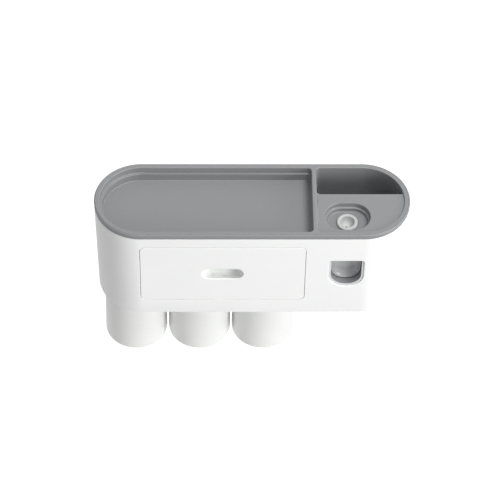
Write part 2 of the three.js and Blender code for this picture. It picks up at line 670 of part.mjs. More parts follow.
// Dispenser frame: cheeks for the paddle, socket boss and the paste duct to the bulb and the outlet
const SOCKET_TOP = SEAT_FLOOR + SOCKET_STAND;
const FRAME_TOP = SOCKET_TOP - SOCKET_FLANGE - GAP;
const FRAME_BOTTOM = FLOOR_TOP + GAP;
const DRIP_FLOOR = OUTLET_BOTTOM - FRAME_WALL - DRIP_ROOM;
const SLEEVE_END = SOCKET_TOP - SOCKET_LENGTH;
const DUCT_Z = SLEEVE_END - GAP - DUCT / 2;
const DUCT_BOTTOM = DUCT_Z - DUCT / 2 - DUCT_WALL;
const DUCT_HALF = DUCT / 2 + DUCT_WALL;
const VALVE_Y = FRAME_FRONT + VALVE / 2 + GAP;
const PIN_Y = frontAt(PIN_HEIGHT) + PIN_SETBACK;
const BULB_BACK = FRAME_BACK - 2 * DUCT_HALF - FRAME_WALL;
const DUCT_Y = FRAME_BACK - DUCT_HALF;
const cheek = (sign) => {
  const inner = TUBE_X + sign * FRAME_HALF;
  const outer = inner + sign * FRAME_WALL;
  const [x0, x1] = [Math.min(inner, outer), Math.max(inner, outer)];
  return block(x0, x1, FRAME_FRONT, FRAME_BACK, FRAME_BOTTOM, FRAME_TOP);
};
const frameLeft = TUBE_X - FRAME_HALF - FRAME_WALL / 2;
const frameRight = TUBE_X + FRAME_HALF + FRAME_WALL / 2;
let frame = join(
  cheek(-1),
  cheek(1),
  block(frameLeft, frameRight, FRAME_FRONT, FRAME_BACK, FRAME_TOP - FRAME_WALL, FRAME_TOP),
  block(frameLeft, frameRight, FRAME_FRONT, FRAME_BACK, DRIP_FLOOR - FRAME_WALL, DRIP_FLOOR),
  block(frameLeft, frameRight, BULB_BACK, BULB_BACK + FRAME_WALL, DRIP_FLOOR - FRAME_WALL, FRAME_TOP),
  block(TUBE_X - DUCT_HALF, TUBE_X + DUCT_HALF, FRAME_FRONT, FRAME_BACK, DUCT_BOTTOM, FRAME_TOP),
  block(
    TUBE_X - DUCT_HALF, TUBE_X + DUCT_HALF,
    BULB_BACK, FRAME_BACK,
    BULB_HEIGHT - DUCT_HALF, FRAME_TOP,
  ),
  upright(TUBE_X, TUBE_Y, SOCKET_SLEEVE + 2 * FRAME_WALL, DUCT_BOTTOM, FRAME_TOP),
);
for (const [x, y] of frameScrews) {
  const reach = EAR / 2 + FRAME_WALL / 2;
  const ear = block(
    x - reach, x + reach,
    y - EAR / 2, y + EAR / 2,
    FRAME_BOTTOM, FRAME_BOTTOM + FRAME_WALL,
  );
  const between = block(frameLeft, frameRight, y - EAR, y + EAR, FRAME_BOTTOM, FRAME_TOP);
  const hole = upright(x, y, SCREW_HOLE, FRAME_BOTTOM - 1, FRAME_BOTTOM + FRAME_WALL + 1);
  frame = frame.add(ear.subtract(between)).subtract(hole);
}
frame = cut(
  frame,
  upright(TUBE_X, TUBE_Y, SOCKET_SLEEVE + 2 * GAP, DUCT_Z, FRAME_TOP + 1),
  alongY(TUBE_X, DUCT_Z, DUCT, VALVE_Y, DUCT_Y),
  upright(TUBE_X, VALVE_Y, DUCT + 2 * GAP, DUCT_BOTTOM - 1, DUCT_Z),
  upright(TUBE_X, DUCT_Y, DUCT, BULB_HEIGHT, DUCT_Z),
  alongY(TUBE_X, BULB_HEIGHT, DUCT, BULB_BACK - 1, DUCT_Y),
  alongX(PIN_Y, PIN_HEIGHT, PIN + 2 * GAP, TUBE_X - EAR_X, TUBE_X + EAR_X),
);
add("dispenser_frame", frame, GREY, 0.55);

frameScrews.forEach(([x, y], index) => {
  const screw = turned(SCREW_PROFILE, 0, 0, SMALL_ARC).rotate([180, 0, 0]);
  const seat = FRAME_BOTTOM + FRAME_WALL + GAP / 2;
  add(`frame_screw_${index + 1}`, screw.translate(x, y, seat), STEEL, 0.35, 1);
});

// Socket: silicone ring with a funnel that grips the neck of the tube
add("tube_socket", turned([
  [SOCKET_THROAT / 2, SLEEVE_END],
  [SOCKET_SLEEVE / 2, SLEEVE_END],
  [SOCKET_SLEEVE / 2, SOCKET_TOP - SOCKET_FLANGE],
  [SOCKET / 2, SOCKET_TOP - SOCKET_FLANGE],
  [SOCKET / 2, SOCKET_TOP - RIM_EASE],
  [SOCKET / 2 - RIM_EASE, SOCKET_TOP],
  [SOCKET_MOUTH / 2, SOCKET_TOP],
  [SOCKET_MOUTH / 2 - RIM_EASE, SOCKET_TOP - 2 * RIM_EASE],
  [SOCKET_THROAT / 2, SLEEVE_END],
], TUBE_X, TUBE_Y), SILICONE, 0.6);

// Outlet valve: silicone nozzle under the front of the duct
const valveSeat = DUCT_BOTTOM - GAP;
add("outlet_valve", turned([
  [NOZZLE_BORE / 2, valveSeat - VALVE_LENGTH],
  [NOZZLE / 2, valveSeat - VALVE_LENGTH],
  [NOZZLE_ROOT / 2, valveSeat - DUCT_WALL],
  [VALVE / 2, valveSeat - DUCT_WALL],
  [VALVE / 2, valveSeat],
  [DUCT / 2, valveSeat],
  [DUCT / 2, DUCT_Z - DUCT / 2],
  [DUCT / 2 - NOZZLE_WALL, DUCT_Z - DUCT / 2],
  [NOZZLE_BORE / 2, valveSeat - VALVE_LENGTH],
], TUBE_X, VALVE_Y, 2 * SMALL_ARC), SILICONE, 0.6);

// Bulb: silicone dome that the paddle squeezes against the back of the frame
const bulbSeat = BULB_BACK - GAP;
const bulbNose = bulbSeat - BULB_LENGTH;
const bulbRound = (radius, nose) => QUARTER.map((t) => [
  radius * Math.sin(t),
  nose + radius * BULB_CROWN * (1 - Math.cos(t)),
]);
add("squeeze_bulb", turnedAlongY([
  ...bulbRound(BULB / 2, bulbNose),
  [BULB / 2, bulbSeat - 2 * BULB_WALL],
  [BULB / 2 + BULB_FLANGE, bulbSeat - 2 * BULB_WALL],
  [BULB / 2 + BULB_FLANGE, bulbSeat],
  [BULB / 2 - BULB_WALL, bulbSeat],
  ...bulbRound(BULB / 2 - BULB_WALL, bulbNose + BULB_WALL).reverse(),
], TUBE_X, BULB_HEIGHT), SILICONE, 0.6);

// Paddle: dished blade hung from the pin, with a spring plate and a pusher on its back
const PADDLE_FRONT = frontAt(OUTLET_BOTTOM) + PADDLE_SETBACK;
const PADDLE_BOTTOM = OUTLET_BOTTOM + FRAME_WALL;
const BARREL = PIN + 4 * GAP + 2 * BARREL_WALL;
const blade = (inset) => arch(
  TUBE_X,
  PADDLE_TOP - inset,
  PADDLE_BOTTOM + inset,
  PADDLE_WIDTH - 2 * inset,
  OUTLET_CORNER,
);
const bladeBack = PADDLE_FRONT + PADDLE_DISH + PADDLE_RIM;
const dish = QUARTER.map((t) => [
  blade(PADDLE_RIM + 2 * PADDLE_DISH * (1 - Math.cos(t))),
  PADDLE_FRONT + PADDLE_DISH * Math.sin(t),
]);
const spoon = cut(
  frontLoft([
    [blade(0), PADDLE_FRONT],
    [blade(0), PADDLE_FRONT + PADDLE_RIM],
    [blade(PADDLE_DISH), bladeBack],
  ]),
  frontLoft([[blade(PADDLE_RIM), PADDLE_FRONT - 1], ...dish]),
);
const SPRING_SEAT = bladeBack + FRAME_WALL;
const pusherEnd = bulbNose - GAP;
const armOutline = [
  [bladeBack - PADDLE_DISH / 2, PADDLE_TOP - OUTLET_CORNER * 2],
  [bladeBack + FRAME_WALL, PADDLE_TOP - OUTLET_CORNER * 2],
  [PIN_Y + BARREL / 2, PIN_HEIGHT],
  [PIN_Y - BARREL / 2, PIN_HEIGHT],
  [bladeBack - PADDLE_DISH / 2, PADDLE_TOP - PADDLE_RIM],
].map(([y, z]) => new THREE.Vector2(y, z));
const armX = PADDLE_WIDTH / 2 - PADDLE_DISH;
const paddle = cut(
  join(
    spoon,
    alongY(TUBE_X, BULB_HEIGHT, SPRING + 2 * WIRE, bladeBack - PADDLE_RIM / 2, SPRING_SEAT),
    alongY(TUBE_X, BULB_HEIGHT, BULB / 2, bladeBack, pusherEnd),
    alongX(PIN_Y, PIN_HEIGHT, BARREL, TUBE_X - PADDLE_WIDTH / 2, TUBE_X + PADDLE_WIDTH / 2),
    side(armOutline, TUBE_X - armX, TUBE_X - armX + PADDLE_ARM),
    side(armOutline, TUBE_X + armX - PADDLE_ARM, TUBE_X + armX),
  ),
  alongX(PIN_Y, PIN_HEIGHT, PIN + 2 * GAP, TUBE_X - FRAME_HALF, TUBE_X + FRAME_HALF),
);
add("push_paddle", paddle, GREY, 0.4);

const pinHalf = FRAME_HALF + FRAME_WALL;
add("paddle_pin", alongX(PIN_Y, PIN_HEIGHT, PIN, TUBE_X - pinHalf, TUBE_X + pinHalf), STEEL, 0.3, 1);

// Return spring between the paddle and the back of the frame
class Coil extends THREE.Curve {
  getPoint(t) {
    const turn = 2 * Math.PI * TURNS * t;
    const y = THREE.MathUtils.lerp(SPRING_SEAT + GAP + WIRE / 2, bulbSeat - WIRE / 2, t);
    const x = TUBE_X + (SPRING / 2) * Math.cos(turn);
    return new THREE.Vector3(x, y, BULB_HEIGHT + (SPRING / 2) * Math.sin(turn));
  }
}
const wire = new THREE.Shape(circle(0, 0, WIRE, 6));
add("return_spring", solid(new THREE.ExtrudeGeometry(wire, {
  steps: 12 * TURNS,
  extrudePath: new Coil(),
})), STEEL, 0.3, 1);

// Cups: mouth down, steel disc under a cap in each foot
const lip = CUP_WALL / 2;
const mouthZ = CUP_TOP - CUP_HEIGHT;
const footRound = EASE.map((t) => [
  CUP_FOOT / 2 - CUP_EASE * (1 - Math.sin(t)),
  CUP_TOP - CUP_EASE * (1 - Math.cos(t)),
]);
const innerFloor = CUP_TOP - CUP_BASE;
const innerRound = EASE.map((t) => [
  CUP_FOOT / 2 - CUP_WALL - CUP_EASE * (1 - Math.cos(t)),
  innerFloor - CUP_EASE * (1 - Math.sin(t)),
]);
const capSeat = CUP_TOP - CAP_THICKNESS - GAP;
const discSeat = capSeat - DISC_THICKNESS - GAP;
const CUP_PROFILE = [
  [0, discSeat],
  [DISC / 2 + GAP, discSeat],
  [DISC / 2 + GAP, capSeat],
  [CAP / 2 + GAP, capSeat],
  [CAP / 2 + GAP, CUP_TOP],
  ...footRound,
  ...EASE.map((t) => [
    CUP_MOUTH / 2 - lip * (1 - Math.cos(t)),
    mouthZ + lip * (1 - Math.sin(t)),
  ]),
  [CUP_MOUTH / 2 - CUP_WALL, mouthZ + lip],
  ...innerRound,
  [0, innerFloor],
].reverse();
for (let i = 0; i < CUPS; i++) {
  const cap = upright(cupX(i), CUP_Y, CAP, capSeat + GAP, CUP_TOP);
  const disc = upright(cupX(i), CUP_Y, DISC, discSeat + GAP, discSeat + GAP + DISC_THICKNESS);
  add(`cup_${i + 1}`, turned(CUP_PROFILE, cupX(i), CUP_Y), WHITE, 0.38);
  add(`cup_disc_${i + 1}`, disc, STEEL, 0.35, 1);
  add(`cup_cap_${i + 1}`, cap, WHITE, 0.5);
}

export default group;
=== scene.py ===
"""Wall-mounted toothbrush holder: the looks of the packed part, laid out as an add-on."""

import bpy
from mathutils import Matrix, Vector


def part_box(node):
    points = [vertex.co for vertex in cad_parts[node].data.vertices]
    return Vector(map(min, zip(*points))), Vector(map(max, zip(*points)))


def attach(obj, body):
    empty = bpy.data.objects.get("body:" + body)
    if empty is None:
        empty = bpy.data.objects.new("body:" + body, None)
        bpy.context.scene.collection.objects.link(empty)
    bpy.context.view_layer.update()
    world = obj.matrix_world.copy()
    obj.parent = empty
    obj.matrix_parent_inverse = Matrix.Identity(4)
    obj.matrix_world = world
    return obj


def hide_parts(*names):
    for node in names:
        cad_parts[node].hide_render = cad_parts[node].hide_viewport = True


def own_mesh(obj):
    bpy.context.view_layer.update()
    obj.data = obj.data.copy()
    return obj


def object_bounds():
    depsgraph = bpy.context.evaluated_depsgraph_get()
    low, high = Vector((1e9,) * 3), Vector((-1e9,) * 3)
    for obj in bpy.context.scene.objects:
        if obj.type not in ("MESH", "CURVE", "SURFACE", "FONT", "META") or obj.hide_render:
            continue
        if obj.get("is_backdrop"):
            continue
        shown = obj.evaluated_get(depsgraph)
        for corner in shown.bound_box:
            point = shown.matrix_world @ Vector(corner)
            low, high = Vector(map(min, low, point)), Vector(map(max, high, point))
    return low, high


bl_info = {
    "name": "Wall-mounted toothbrush holder",
    "version": (1, 0, 0),
    "blender": (4, 5, 0),
    "location": "View3D > Sidebar > Holder",
    "description": "Builds the tray, body, drawer, dispenser and cups of a toothbrush holder",
    "category": "Add Mesh",
}

import math

import bmesh
import bpy
from bpy.props import FloatProperty, FloatVectorProperty, PointerProperty
from mathutils import Matrix, Vector

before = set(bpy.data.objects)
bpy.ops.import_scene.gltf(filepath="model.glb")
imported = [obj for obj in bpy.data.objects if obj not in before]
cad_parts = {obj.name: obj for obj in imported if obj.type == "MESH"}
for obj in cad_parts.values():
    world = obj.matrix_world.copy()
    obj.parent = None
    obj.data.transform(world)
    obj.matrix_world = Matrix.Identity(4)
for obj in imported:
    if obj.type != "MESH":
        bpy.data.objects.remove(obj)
CAD_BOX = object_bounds()

MM = 0.001
TINY = 0.001 * MM  # points closer than this are one point
HAIR = 0.01 * MM  # keeps two loops or faces out of one plane
NEAR = 0.05 * MM  # what lies this close to a surface is on it
OVERSHOOT = 2 * MM  # how far a cutter stands out of what it cuts
SHARP = math.radians(32)  # edges that turn more than this are eased
PARALLEL = 0.999  # share of an edge's length that has to run along an axis
ALL_ROUND = 0.9995  # share of a side that a full rounding takes
ROUND = 96  # steps in a large circle
SMALL_ROUND = 48  # steps in a small circle
CORNER = 6  # steps in a rounded corner
FILLET = 8  # steps in a fillet
X, Y, Z = range(3)

# Places that the packed part gives
BODY_LOW, BODY_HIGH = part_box("body_shell")
TRAY_LOW, TRAY_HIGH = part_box("top_tray")
PANEL_LOW, PANEL_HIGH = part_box("drawer_front")
TUB_LOW, TUB_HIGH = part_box("drawer_box")
SOCKET_LOW, SOCKET_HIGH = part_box("tube_socket")
PADDLE_LOW, PADDLE_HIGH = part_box("push_paddle")
PIN_LOW, PIN_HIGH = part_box("paddle_pin")
BULB_LOW, BULB_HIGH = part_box("squeeze_bulb")
LENGTH = BODY_HIGH.x - BODY_LOW.x
DEPTH = BODY_HIGH.y - BODY_LOW.y
HEIGHT = BODY_HIGH.z - BODY_LOW.z
MIDDLE_Y = (BODY_LOW.y + BODY_HIGH.y) / 2
TUBE = (SOCKET_LOW + SOCKET_HIGH) / 2
SCOOP_CENTRE = (PANEL_LOW + PANEL_HIGH) / 2

# Crown of the rim: how far in from the outside, and how far below the top
RIM_CROWN = [(inset * MM, drop * MM) for inset, drop in (
    (0, 1.3), (0, 0.9), (0.22, 0.45), (0.8, 0.16), (1.8, 0.03), (2.8, 0), (4.4, 0.15),
)]

# Small sizes that follow the packed part
TUB_GAP = 3 * MM  # tub inside the sides of the drawer front
GUIDE, GUIDE_HEIGHT = 1.6 * MM, 8 * MM  # rails on both sides of the tub
COLLAR_ROOT = 2 * MM  # collar of the outlet behind the front of the body
BEZEL_FIT = 0.05 * MM  # gap around the bezel of the outlet
PLATE_GAP = 0.3 * MM  # gap around a wall plate
PLATE_CORNER = 6 * MM
KEYHOLE, KEY_SLOT = 8.8 * MM, 4.6 * MM  # diameter, and width of the slot above it
KEYHOLE_DROP = 12 * MM  # keyhole below the stud of the wall plate
CLEAR = 0.5 * MM  # keeps a cutter clear of the walls of the cut above it
SCOOP_WIDEN = 0.3 * MM  # how far the scoop opens out sideways, behind its edge
SCOOP_GAP = 0.3 * MM  # gap between the scoop and the tub
SCOOP_ROOT = 0.9  # share of the front's thickness that holds the scoop
RING_PROUD = 2 * MM  # socket ring above the packed one
RING_WIDER = 0.2 * MM  # socket ring outside the packed one
SPRING_SEAT = 2.4 * MM  # thickness of the plate that the spring sits on
SPRING_PLATE = 29.6 * MM  # diameter of that plate
SPRING_TURNS = 6
PUSHER = 10 * MM  # diameter of the paddle's knob, which meets the bulb
PUSH_GAP = 0.3 * MM  # gap in front of the paddle and behind its knob

# Patterns of the materials
NOISE_SPAN = {"From Min": 0.3, "From Max": 0.7}  # where most of a noise lies
FLOW = 40  # millimetres across the flow of plastic in the mould
PATCH = 3  # millimetres across a dull patch of zinc

# Stage, in metres
FLOOR_REACH = 8
FLOOR_LEVEL = -0.9
ROOM_LIGHT = 0.45  # share of the room's white that lights the object
LIT = Vector((0, MIDDLE_Y, 0))  # where the lamps point
LAMPS = (  # name, place, power and width
    ("side lamp", (2.24, -1.93, 0.67), 50, 1.2),
    ("high lamp", (1.12, -0.64, 2.72), 67, 1.2),
)
SENSOR, LENS = 36, 209.57  # millimetres
VIEW_DOWN, VIEW_RIGHT = 51, 0.8474  # degrees
VIEW_FROM = (-0.05415, -1.85976, 2.2326)


def linear(hex_code):
    """Linear colour of an sRGB hex code."""
    channels = [int(hex_code[i:i + 2], 16) / 255 for i in (0, 2, 4)]
    return [c / 12.92 if c <= 0.04045 else ((c + 0.055) / 1.055) ** 2.4 for c in channels]


def size(name, description, millimetres):
    """A length that a user may change, kept in metres."""
    return FloatProperty(
        name=name, description=description, default=millimetres * MM, unit="LENGTH", precision=4
    )


def colour(name, description, hex_code):
    """A colour that a user may change."""
    return FloatVectorProperty(
        name=name, description=description, default=linear(hex_code), subtype="COLOR", size=3,
        min=0, max=1,
    )


class HolderBodySizes(bpy.types.PropertyGroup):
    """Sizes of the white body"""

    taper: size("Taper", "How far the front and the ends stand in at the bottom", 2)
    wall: size("Wall", "Thickness of the moulding", 2.4)
    foot: size("Foot rounding", "Radius of the bottom edge", 1.2)
    edge: size("Edge", "Radius of the edges of the openings", 0.5)
    floor: size("Floor", "Thickness of the floor under the drawer", 2.2)
    clearance: size("Clearance", "Gap around the drawer", 0.4)
    partition: size("Partition", "Wall between the drawer and the dispenser", 2)
    outlet_width: size("Outlet width", "Width of the outlet opening", 36)
    outlet_height: size("Outlet height", "Height of the outlet opening", 42.5)
    outlet_drop: size("Outlet drop", "Top of the outlet below the top of the body", 35)
    outlet_corner: size("Outlet corner", "Radius of the upper corners of the outlet", 3)
    collar: size("Collar", "Depth of the outlet opening", 5)
    bezel: size("Bezel", "Width of the bezel that stands into the outlet", 2.4)
    bezel_setback: size("Bezel setback", "How far the bezel lies behind the front", 0.9)
    bezel_depth: size("Bezel depth", "Thickness of the bezel", 1.2)
    channel: size("Channel", "Wall of the grey channel behind the bezel", 1.6)
    recess: size("Wall plate recess", "Depth of the recess for a wall plate", 3)


class HolderTraySizes(bpy.types.PropertyGroup):
    """Sizes of the grey tray"""

    rim_height: size("Rim height", "Height of the band above the body", 6.3)
    rim_width: size("Rim width", "Width of the rim seen from above", 5.5)
    wall: size("Wall", "Thickness of the moulding", 1.9)
    pan_depth: size("Pan depth", "Floor of the pan below the rim", 17.2)
    pan_sheet: size("Pan sheet", "Thickness of the floor of the pan", 1)
    pan_step: size("Pan step", "Ledge of the pan below the rim", 8)
    pan_ledge: size("Pan ledge", "Width of the ledge of the pan", 2.4)
    pan_corner: size("Pan corner", "Radius of the upright corners at the divider", 4)
    pan_fillet: size("Pan fillet", "Radius between the floor and the wall of the pan", 0.8)
    fillet: size("Fillet", "Radius between the floor and the wall of the tube seat", 1.6)
    edge: size("Edge", "Radius of the upper edges", 0.9)
    divider_edge: size("Divider edge", "Radius of the divider toward the deck", 1.6)
    divider: size("Divider", "Thickness of the wall between the pan and the deck", 3.8)
    divider_place: size("Divider place", "Middle of the divider from the right end", 97)
    deck_drop: size("Deck drop", "Deck below the rim", 2.5)
    bin_ledge: size("Bin ledge", "Strip between the divider and the bin", 1)
    bin_place: size("Bin place", "Front of the bin behind the front of the tray", 56.8)
    bin_depth: size("Bin depth", "Floor of the bin below the deck", 95)
    bin_taper: size("Bin taper", "How far the bin narrows at its floor", 2)
    seat_length: size("Seat length", "Length of the oval tube seat", 45.8)
    seat_width: size("Seat width", "Width of the oval tube seat", 34.6)
    seat_depth: size("Seat depth", "Floor of the tube seat below the deck", 10.7)
    seat_step: size("Seat step", "Ledge of the tube seat below the deck", 6.1)
    seat_ledge: size("Seat ledge", "Width of the ledge of the tube seat", 2.1)
    seat_hole: size("Seat hole", "Hole in the floor of the tube seat", 21.8)


class HolderDrawerSizes(bpy.types.PropertyGroup):
    """Sizes of the drawer"""

    panel: size("Panel", "Thickness of the front at its lower edge", 3)
    corner: size("Corner", "Radius of the corners of the front", 6)
    edge: size("Edge", "Radius of the edges of the front", 0.5)
    scoop_length: size("Scoop length", "Length of the finger scoop", 42.7)
    scoop_height: size("Scoop height", "Height of the finger scoop", 16.6)
    scoop_depth: size("Scoop depth", "Depth of the finger scoop", 10)
    scoop_brow: size("Scoop brow", "Thickness of the edge that the fingers hook behind", 1.3)
    scoop_behind: size("Scoop behind", "How far the scoop opens up and down, behind its edge", 4)
    scoop_fillet: size("Scoop fillet", "Radius round the floor of the scoop", 6)
    wall: size("Wall", "Thickness of the tub", 1.8)
    stop: size("Stop", "Height of the stops on the back of the tub", 4.7)
    stop_width: size("Stop width", "Width of a stop", 15)
    stop_inset: size("Stop inset", "Middle of a stop from the side of the front", 22.5)


class HolderDispenserSizes(bpy.types.PropertyGroup):
    """Sizes of the toothpaste dispenser"""

    mouth: size("Mouth", "Inside of the socket ring at the top", 14.4)
    sleeve: size("Sleeve", "Outside of the socket under its flange", 16.4)
    flange: size("Flange", "Height of the socket ring", 3.2)
    bowl: size("Bowl", "Depth of the hollow of the socket", 9)
    drain: size("Drain", "Hole for the paste in the floor of the socket", 2.6)
    nub: size("Nub", "Diameter of the locating nub in the mouth", 2.4)
    ring_edge: size("Ring edge", "Radius of the outer edge of the socket ring", 1.5)
    mouth_edge: size("Mouth edge", "Radius of the inner edge of the socket ring", 0.9)
    paddle_top: size("Paddle top", "Top of the blade above the wall fixing", 14)
    paddle_rim: size("Paddle rim", "Width of the rim of the blade", 1.3)
    dish: size("Dish", "Depth of the hollow of the blade", 4.2)
    blade_corner: size("Blade corner", "Radius of the upper corners of the blade", 3)
    paddle_edge: size("Paddle edge", "Radius of the other edges of the paddle", 0.3)
    barrel: size("Barrel", "Diameter of the hinge barrel", 7.2)
    pin_hole: size("Pin hole", "Diameter of the hole for the hinge pin", 3.6)
    arm: size("Arm", "Thickness of the arms that carry the blade", 3)
    bulb: size("Bulb", "Diameter of the squeeze bulb", 20)
    bulb_wall: size("Bulb wall", "Thickness of the squeeze bulb", 1.6)
    bulb_dome: size("Bulb dome", "Height of the dome of the bulb", 7)
    wire: size("Wire", "Thickness of the wire of the return spring", 1.2)


class HolderCupSizes(bpy.types.PropertyGroup):
    """Sizes of a cup"""

    foot: size("Foot", "Diameter at the foot", 63.5)
    wall: size("Wall", "Thickness of the side", 2)
    base: size("Base", "Thickness of the foot", 5)
    rounding: size("Rounding", "Radius round the foot", 3.5)
    lip: size("Lip", "Radius of the edge of the mouth", 0.9)
    cap_hole: size("Cap hole", "Diameter of the recess for the cap", 30.6)
    disc_hole: size("Disc hole", "Diameter of the recess for the steel disc", 22.6)
    step: size("Step", "Depth of each recess", 1.5)


class HolderFinishes(bpy.types.PropertyGroup):
    """Colours of the mouldings"""

    white: colour("White", "Body and drawer", "F3F4F3")
    grey: colour("Grey", "Tray and dispenser frame", "868789")
    # The paddle's grey is partly its own colour and partly painted shade, as the paddle sits deep
    # in the outlet.
    paddle: colour("Paddle", "Push paddle", "ABACAE")
    # The bezel's pale grey is painted shade: it darkens the lip of the outlet as if it lay in
    # shade.
    bezel: colour("Bezel", "Bezel of the outlet", "D2D3D3")
    cup: colour("Cup", "Cups", "EFF0EE")
    # The silicone's grey is partly its own tone and partly painted shade on the socket ring,
    # which lies down in the seat.
    silicone: colour("Silicone", "Socket, valve and bulb", "C3C4C3")
    clear: colour("Clear", "Wall plates", "DFE4E6")
    adhesive: colour("Adhesive", "Adhesive pads", "D9DBDA")


def ring_edges(verts):
    """Edges of a loop that was just made."""
    return list(dict.fromkeys(edge for vert in verts for edge in vert.link_edges))


def stadium(bm, y, z, length, width, x=0, steps=ROUND):
    """Level loop of two half circles joined by straight sides."""
    radius = width / 2 / math.cos(math.pi / steps)
    turn = Matrix.Rotation(math.pi / steps, 4, "Z")
    verts = bmesh.ops.create_circle(bm, segments=steps, radius=radius, matrix=turn)["verts"]
    for sign in (-1, 1):
        half = [vert for vert in verts if sign * vert.co.x > 0]
        bmesh.ops.translate(bm, verts=half, vec=(sign * (length - width) / 2, 0, 0))
    bmesh.ops.translate(bm, verts=verts, vec=(x, y, z))
    return ring_edges(verts)


def front_outline(bm, low, high, y, low_radius, high_radius, steps=2 * CORNER):
    """Upright loop seen from the front, its lower and upper corners rounded."""
    width, height = high[0] - low[0], high[1] - low[1]
    middle = (low[1] + high[1]) / 2
    upright = Matrix.Rotation(math.pi / 2, 4, "X") @ Matrix.Diagonal((width, height, 1, 1))
    place = Matrix.Translation(((low[0] + high[0]) / 2, y, middle))
    verts = bmesh.ops.create_grid(
        bm, x_segments=1, y_segments=1, size=0.5, matrix=place @ upright
    )["verts"]
    lower = [vert for vert in verts if vert.co.z < middle]
    upper = [vert for vert in verts if vert.co.z > middle]
    for pair, radius in ((lower, low_radius), (upper, high_radius)):
        bmesh.ops.bevel(
            bm, geom=pair, offset=radius, offset_type="OFFSET", affect="VERTICES",
            segments=steps, profile=0.5, material=-1, clamp_overlap=False,
        )
    face = next(face for face in bm.faces if len(face.verts) > 4 * steps)
    edges = face.edges[:]
    bmesh.ops.delete(bm, geom=[face], context="FACES_ONLY")
    return edges


def close(bm, edges):
    """Fills an open loop with one face."""
    bmesh.ops.holes_fill(bm, edges=edges, sides=0)


def loft(bm, rings):
    """Closed body through a stack of loops."""
    for low, high in zip(rings, rings[1:]):
        bmesh.ops.bridge_loops(bm, edges=low + high)
    close(bm, rings[0])
    close(bm, rings[-1])
    bmesh.ops.recalc_face_normals(bm, faces=bm.faces)
    return bm


def stadium_block(y, levels, length, width, x=0):
    """Upright form of one stadium outline between two levels."""
    bm = bmesh.new()
    return loft(bm, [stadium(bm, y, z, length, width, x) for z in levels])


def block(low, high):
    """Block between two corners."""
    bm = bmesh.new()
    bmesh.ops.create_cube(bm, size=1)
    bmesh.ops.scale(bm, verts=bm.verts, vec=Vector(high) - Vector(low))
    bmesh.ops.translate(bm, verts=bm.verts, vec=(Vector(high) + Vector(low)) / 2)
    return bm


def rod(start, end, diameter, steps=SMALL_ROUND):
    """Round rod between two points."""
    bm = bmesh.new()
    axis = Vector(end) - Vector(start)
    turn = Vector((0, 0, 1)).rotation_difference(axis).to_matrix().to_4x4()
    place = Matrix.Translation((Vector(start) + Vector(end)) / 2) @ turn
    bmesh.ops.create_cone(
        bm, cap_ends=True, segments=steps, radius1=diameter / 2, radius2=diameter / 2,
        depth=axis.length, matrix=place,
    )
    return bm


def turned(profile, x, y, steps=ROUND):
    """Profile of radius and height, turned about an upright axis."""
    bm = bmesh.new()
    verts = [bm.verts.new((x + radius, y, z)) for radius, z in profile]
    edges = [bm.edges.new(pair) for pair in zip(verts, verts[1:])]
    bmesh.ops.spin(
        bm, geom=verts + edges, cent=(x, y, 0), axis=(0, 0, 1), angle=2 * math.pi,
        steps=steps, use_merge=True,
    )
    bmesh.ops.remove_doubles(bm, verts=bm.verts, dist=TINY)
    bmesh.ops.recalc_face_normals(bm, faces=bm.faces)
    return bm


def ease(bm, edges, radius, steps=CORNER):
    """Rounds these edges."""
    bmesh.ops.bevel(
        bm, geom=edges, offset=radius, offset_type="OFFSET", affect="EDGES", segments=steps,
        profile=0.5, material=-1, clamp_overlap=False,
    )


def edges_along(bm, axis, at=None, of=Z):
    """Edges that run along an axis, or only those at one value of another axis."""
    found = []
    for edge in bm.edges:
        run = edge.verts[1].co - edge.verts[0].co
        along = abs(run[axis]) > PARALLEL * run.length
        if along and (at is None or abs(edge.verts[0].co[of] - at) < TINY):
            found.append(edge)
    return found


def edges_at(bm, level):
    """Edges that lie in one level plane."""
    return [e for e in bm.edges if all(abs(v.co.z - level) < TINY for v in e.verts)]


def circle_edges(bm, x, y, radius, z):
    """Edges of one level circle."""
    def on_circle(vert):
        reach = math.hypot(vert.co.x - x, vert.co.y - y)
        return abs(reach - radius) < NEAR and abs(vert.co.z - z) < TINY
    return [edge for edge in bm.edges if all(on_circle(vert) for vert in edge.verts)]


def trim(bm, point, normal):
    """Cuts away what lies beyond a plane and closes the cut."""
    geometry = bm.verts[:] + bm.edges[:] + bm.faces[:]
    cut = bmesh.ops.bisect_plane(
        bm, geom=geometry, plane_co=point, plane_no=normal, clear_outer=True
    )
    close(bm, [item for item in cut["geom_cut"] if isinstance(item, bmesh.types.BMEdge)])
    return bm


def trim_at(bm, axis, place, side):
    """Cuts away what lies on one side of a place on an axis."""
    point, normal = Vector(), Vector()
    point[axis], normal[axis] = place, side
    trim(bm, point, normal)


def front_block(low, high, low_radius, high_radius, steps=CORNER):
    """Block with its corners, seen from the front, rounded below and above."""
    bm = block(low, high)
    ease(bm, edges_along(bm, Y, at=low[Z]), low_radius, steps)
    ease(bm, edges_along(bm, Y, at=high[Z]), high_radius, steps)
    return bm


def rounding(radius, end, steps=FILLET):
    """Insets and places of a quarter round that ends at a place."""
    turns = [math.pi / 2 * step / steps for step in range(steps + 1)]
    return [(radius * (1 - math.cos(t)), end - radius * (1 - math.sin(t))) for t in turns]


def make(name, bm):
    """Object of a finished bmesh, its faces pointing outwards."""
    bmesh.ops.remove_doubles(bm, verts=bm.verts, dist=TINY)
    bmesh.ops.recalc_face_normals(bm, faces=bm.faces)
    mesh = bpy.data.meshes.new(name)
    bm.to_mesh(mesh)
    bm.free()
    piece = bpy.data.objects.new(name, mesh)
    bpy.context.scene.collection.objects.link(piece)
    return piece


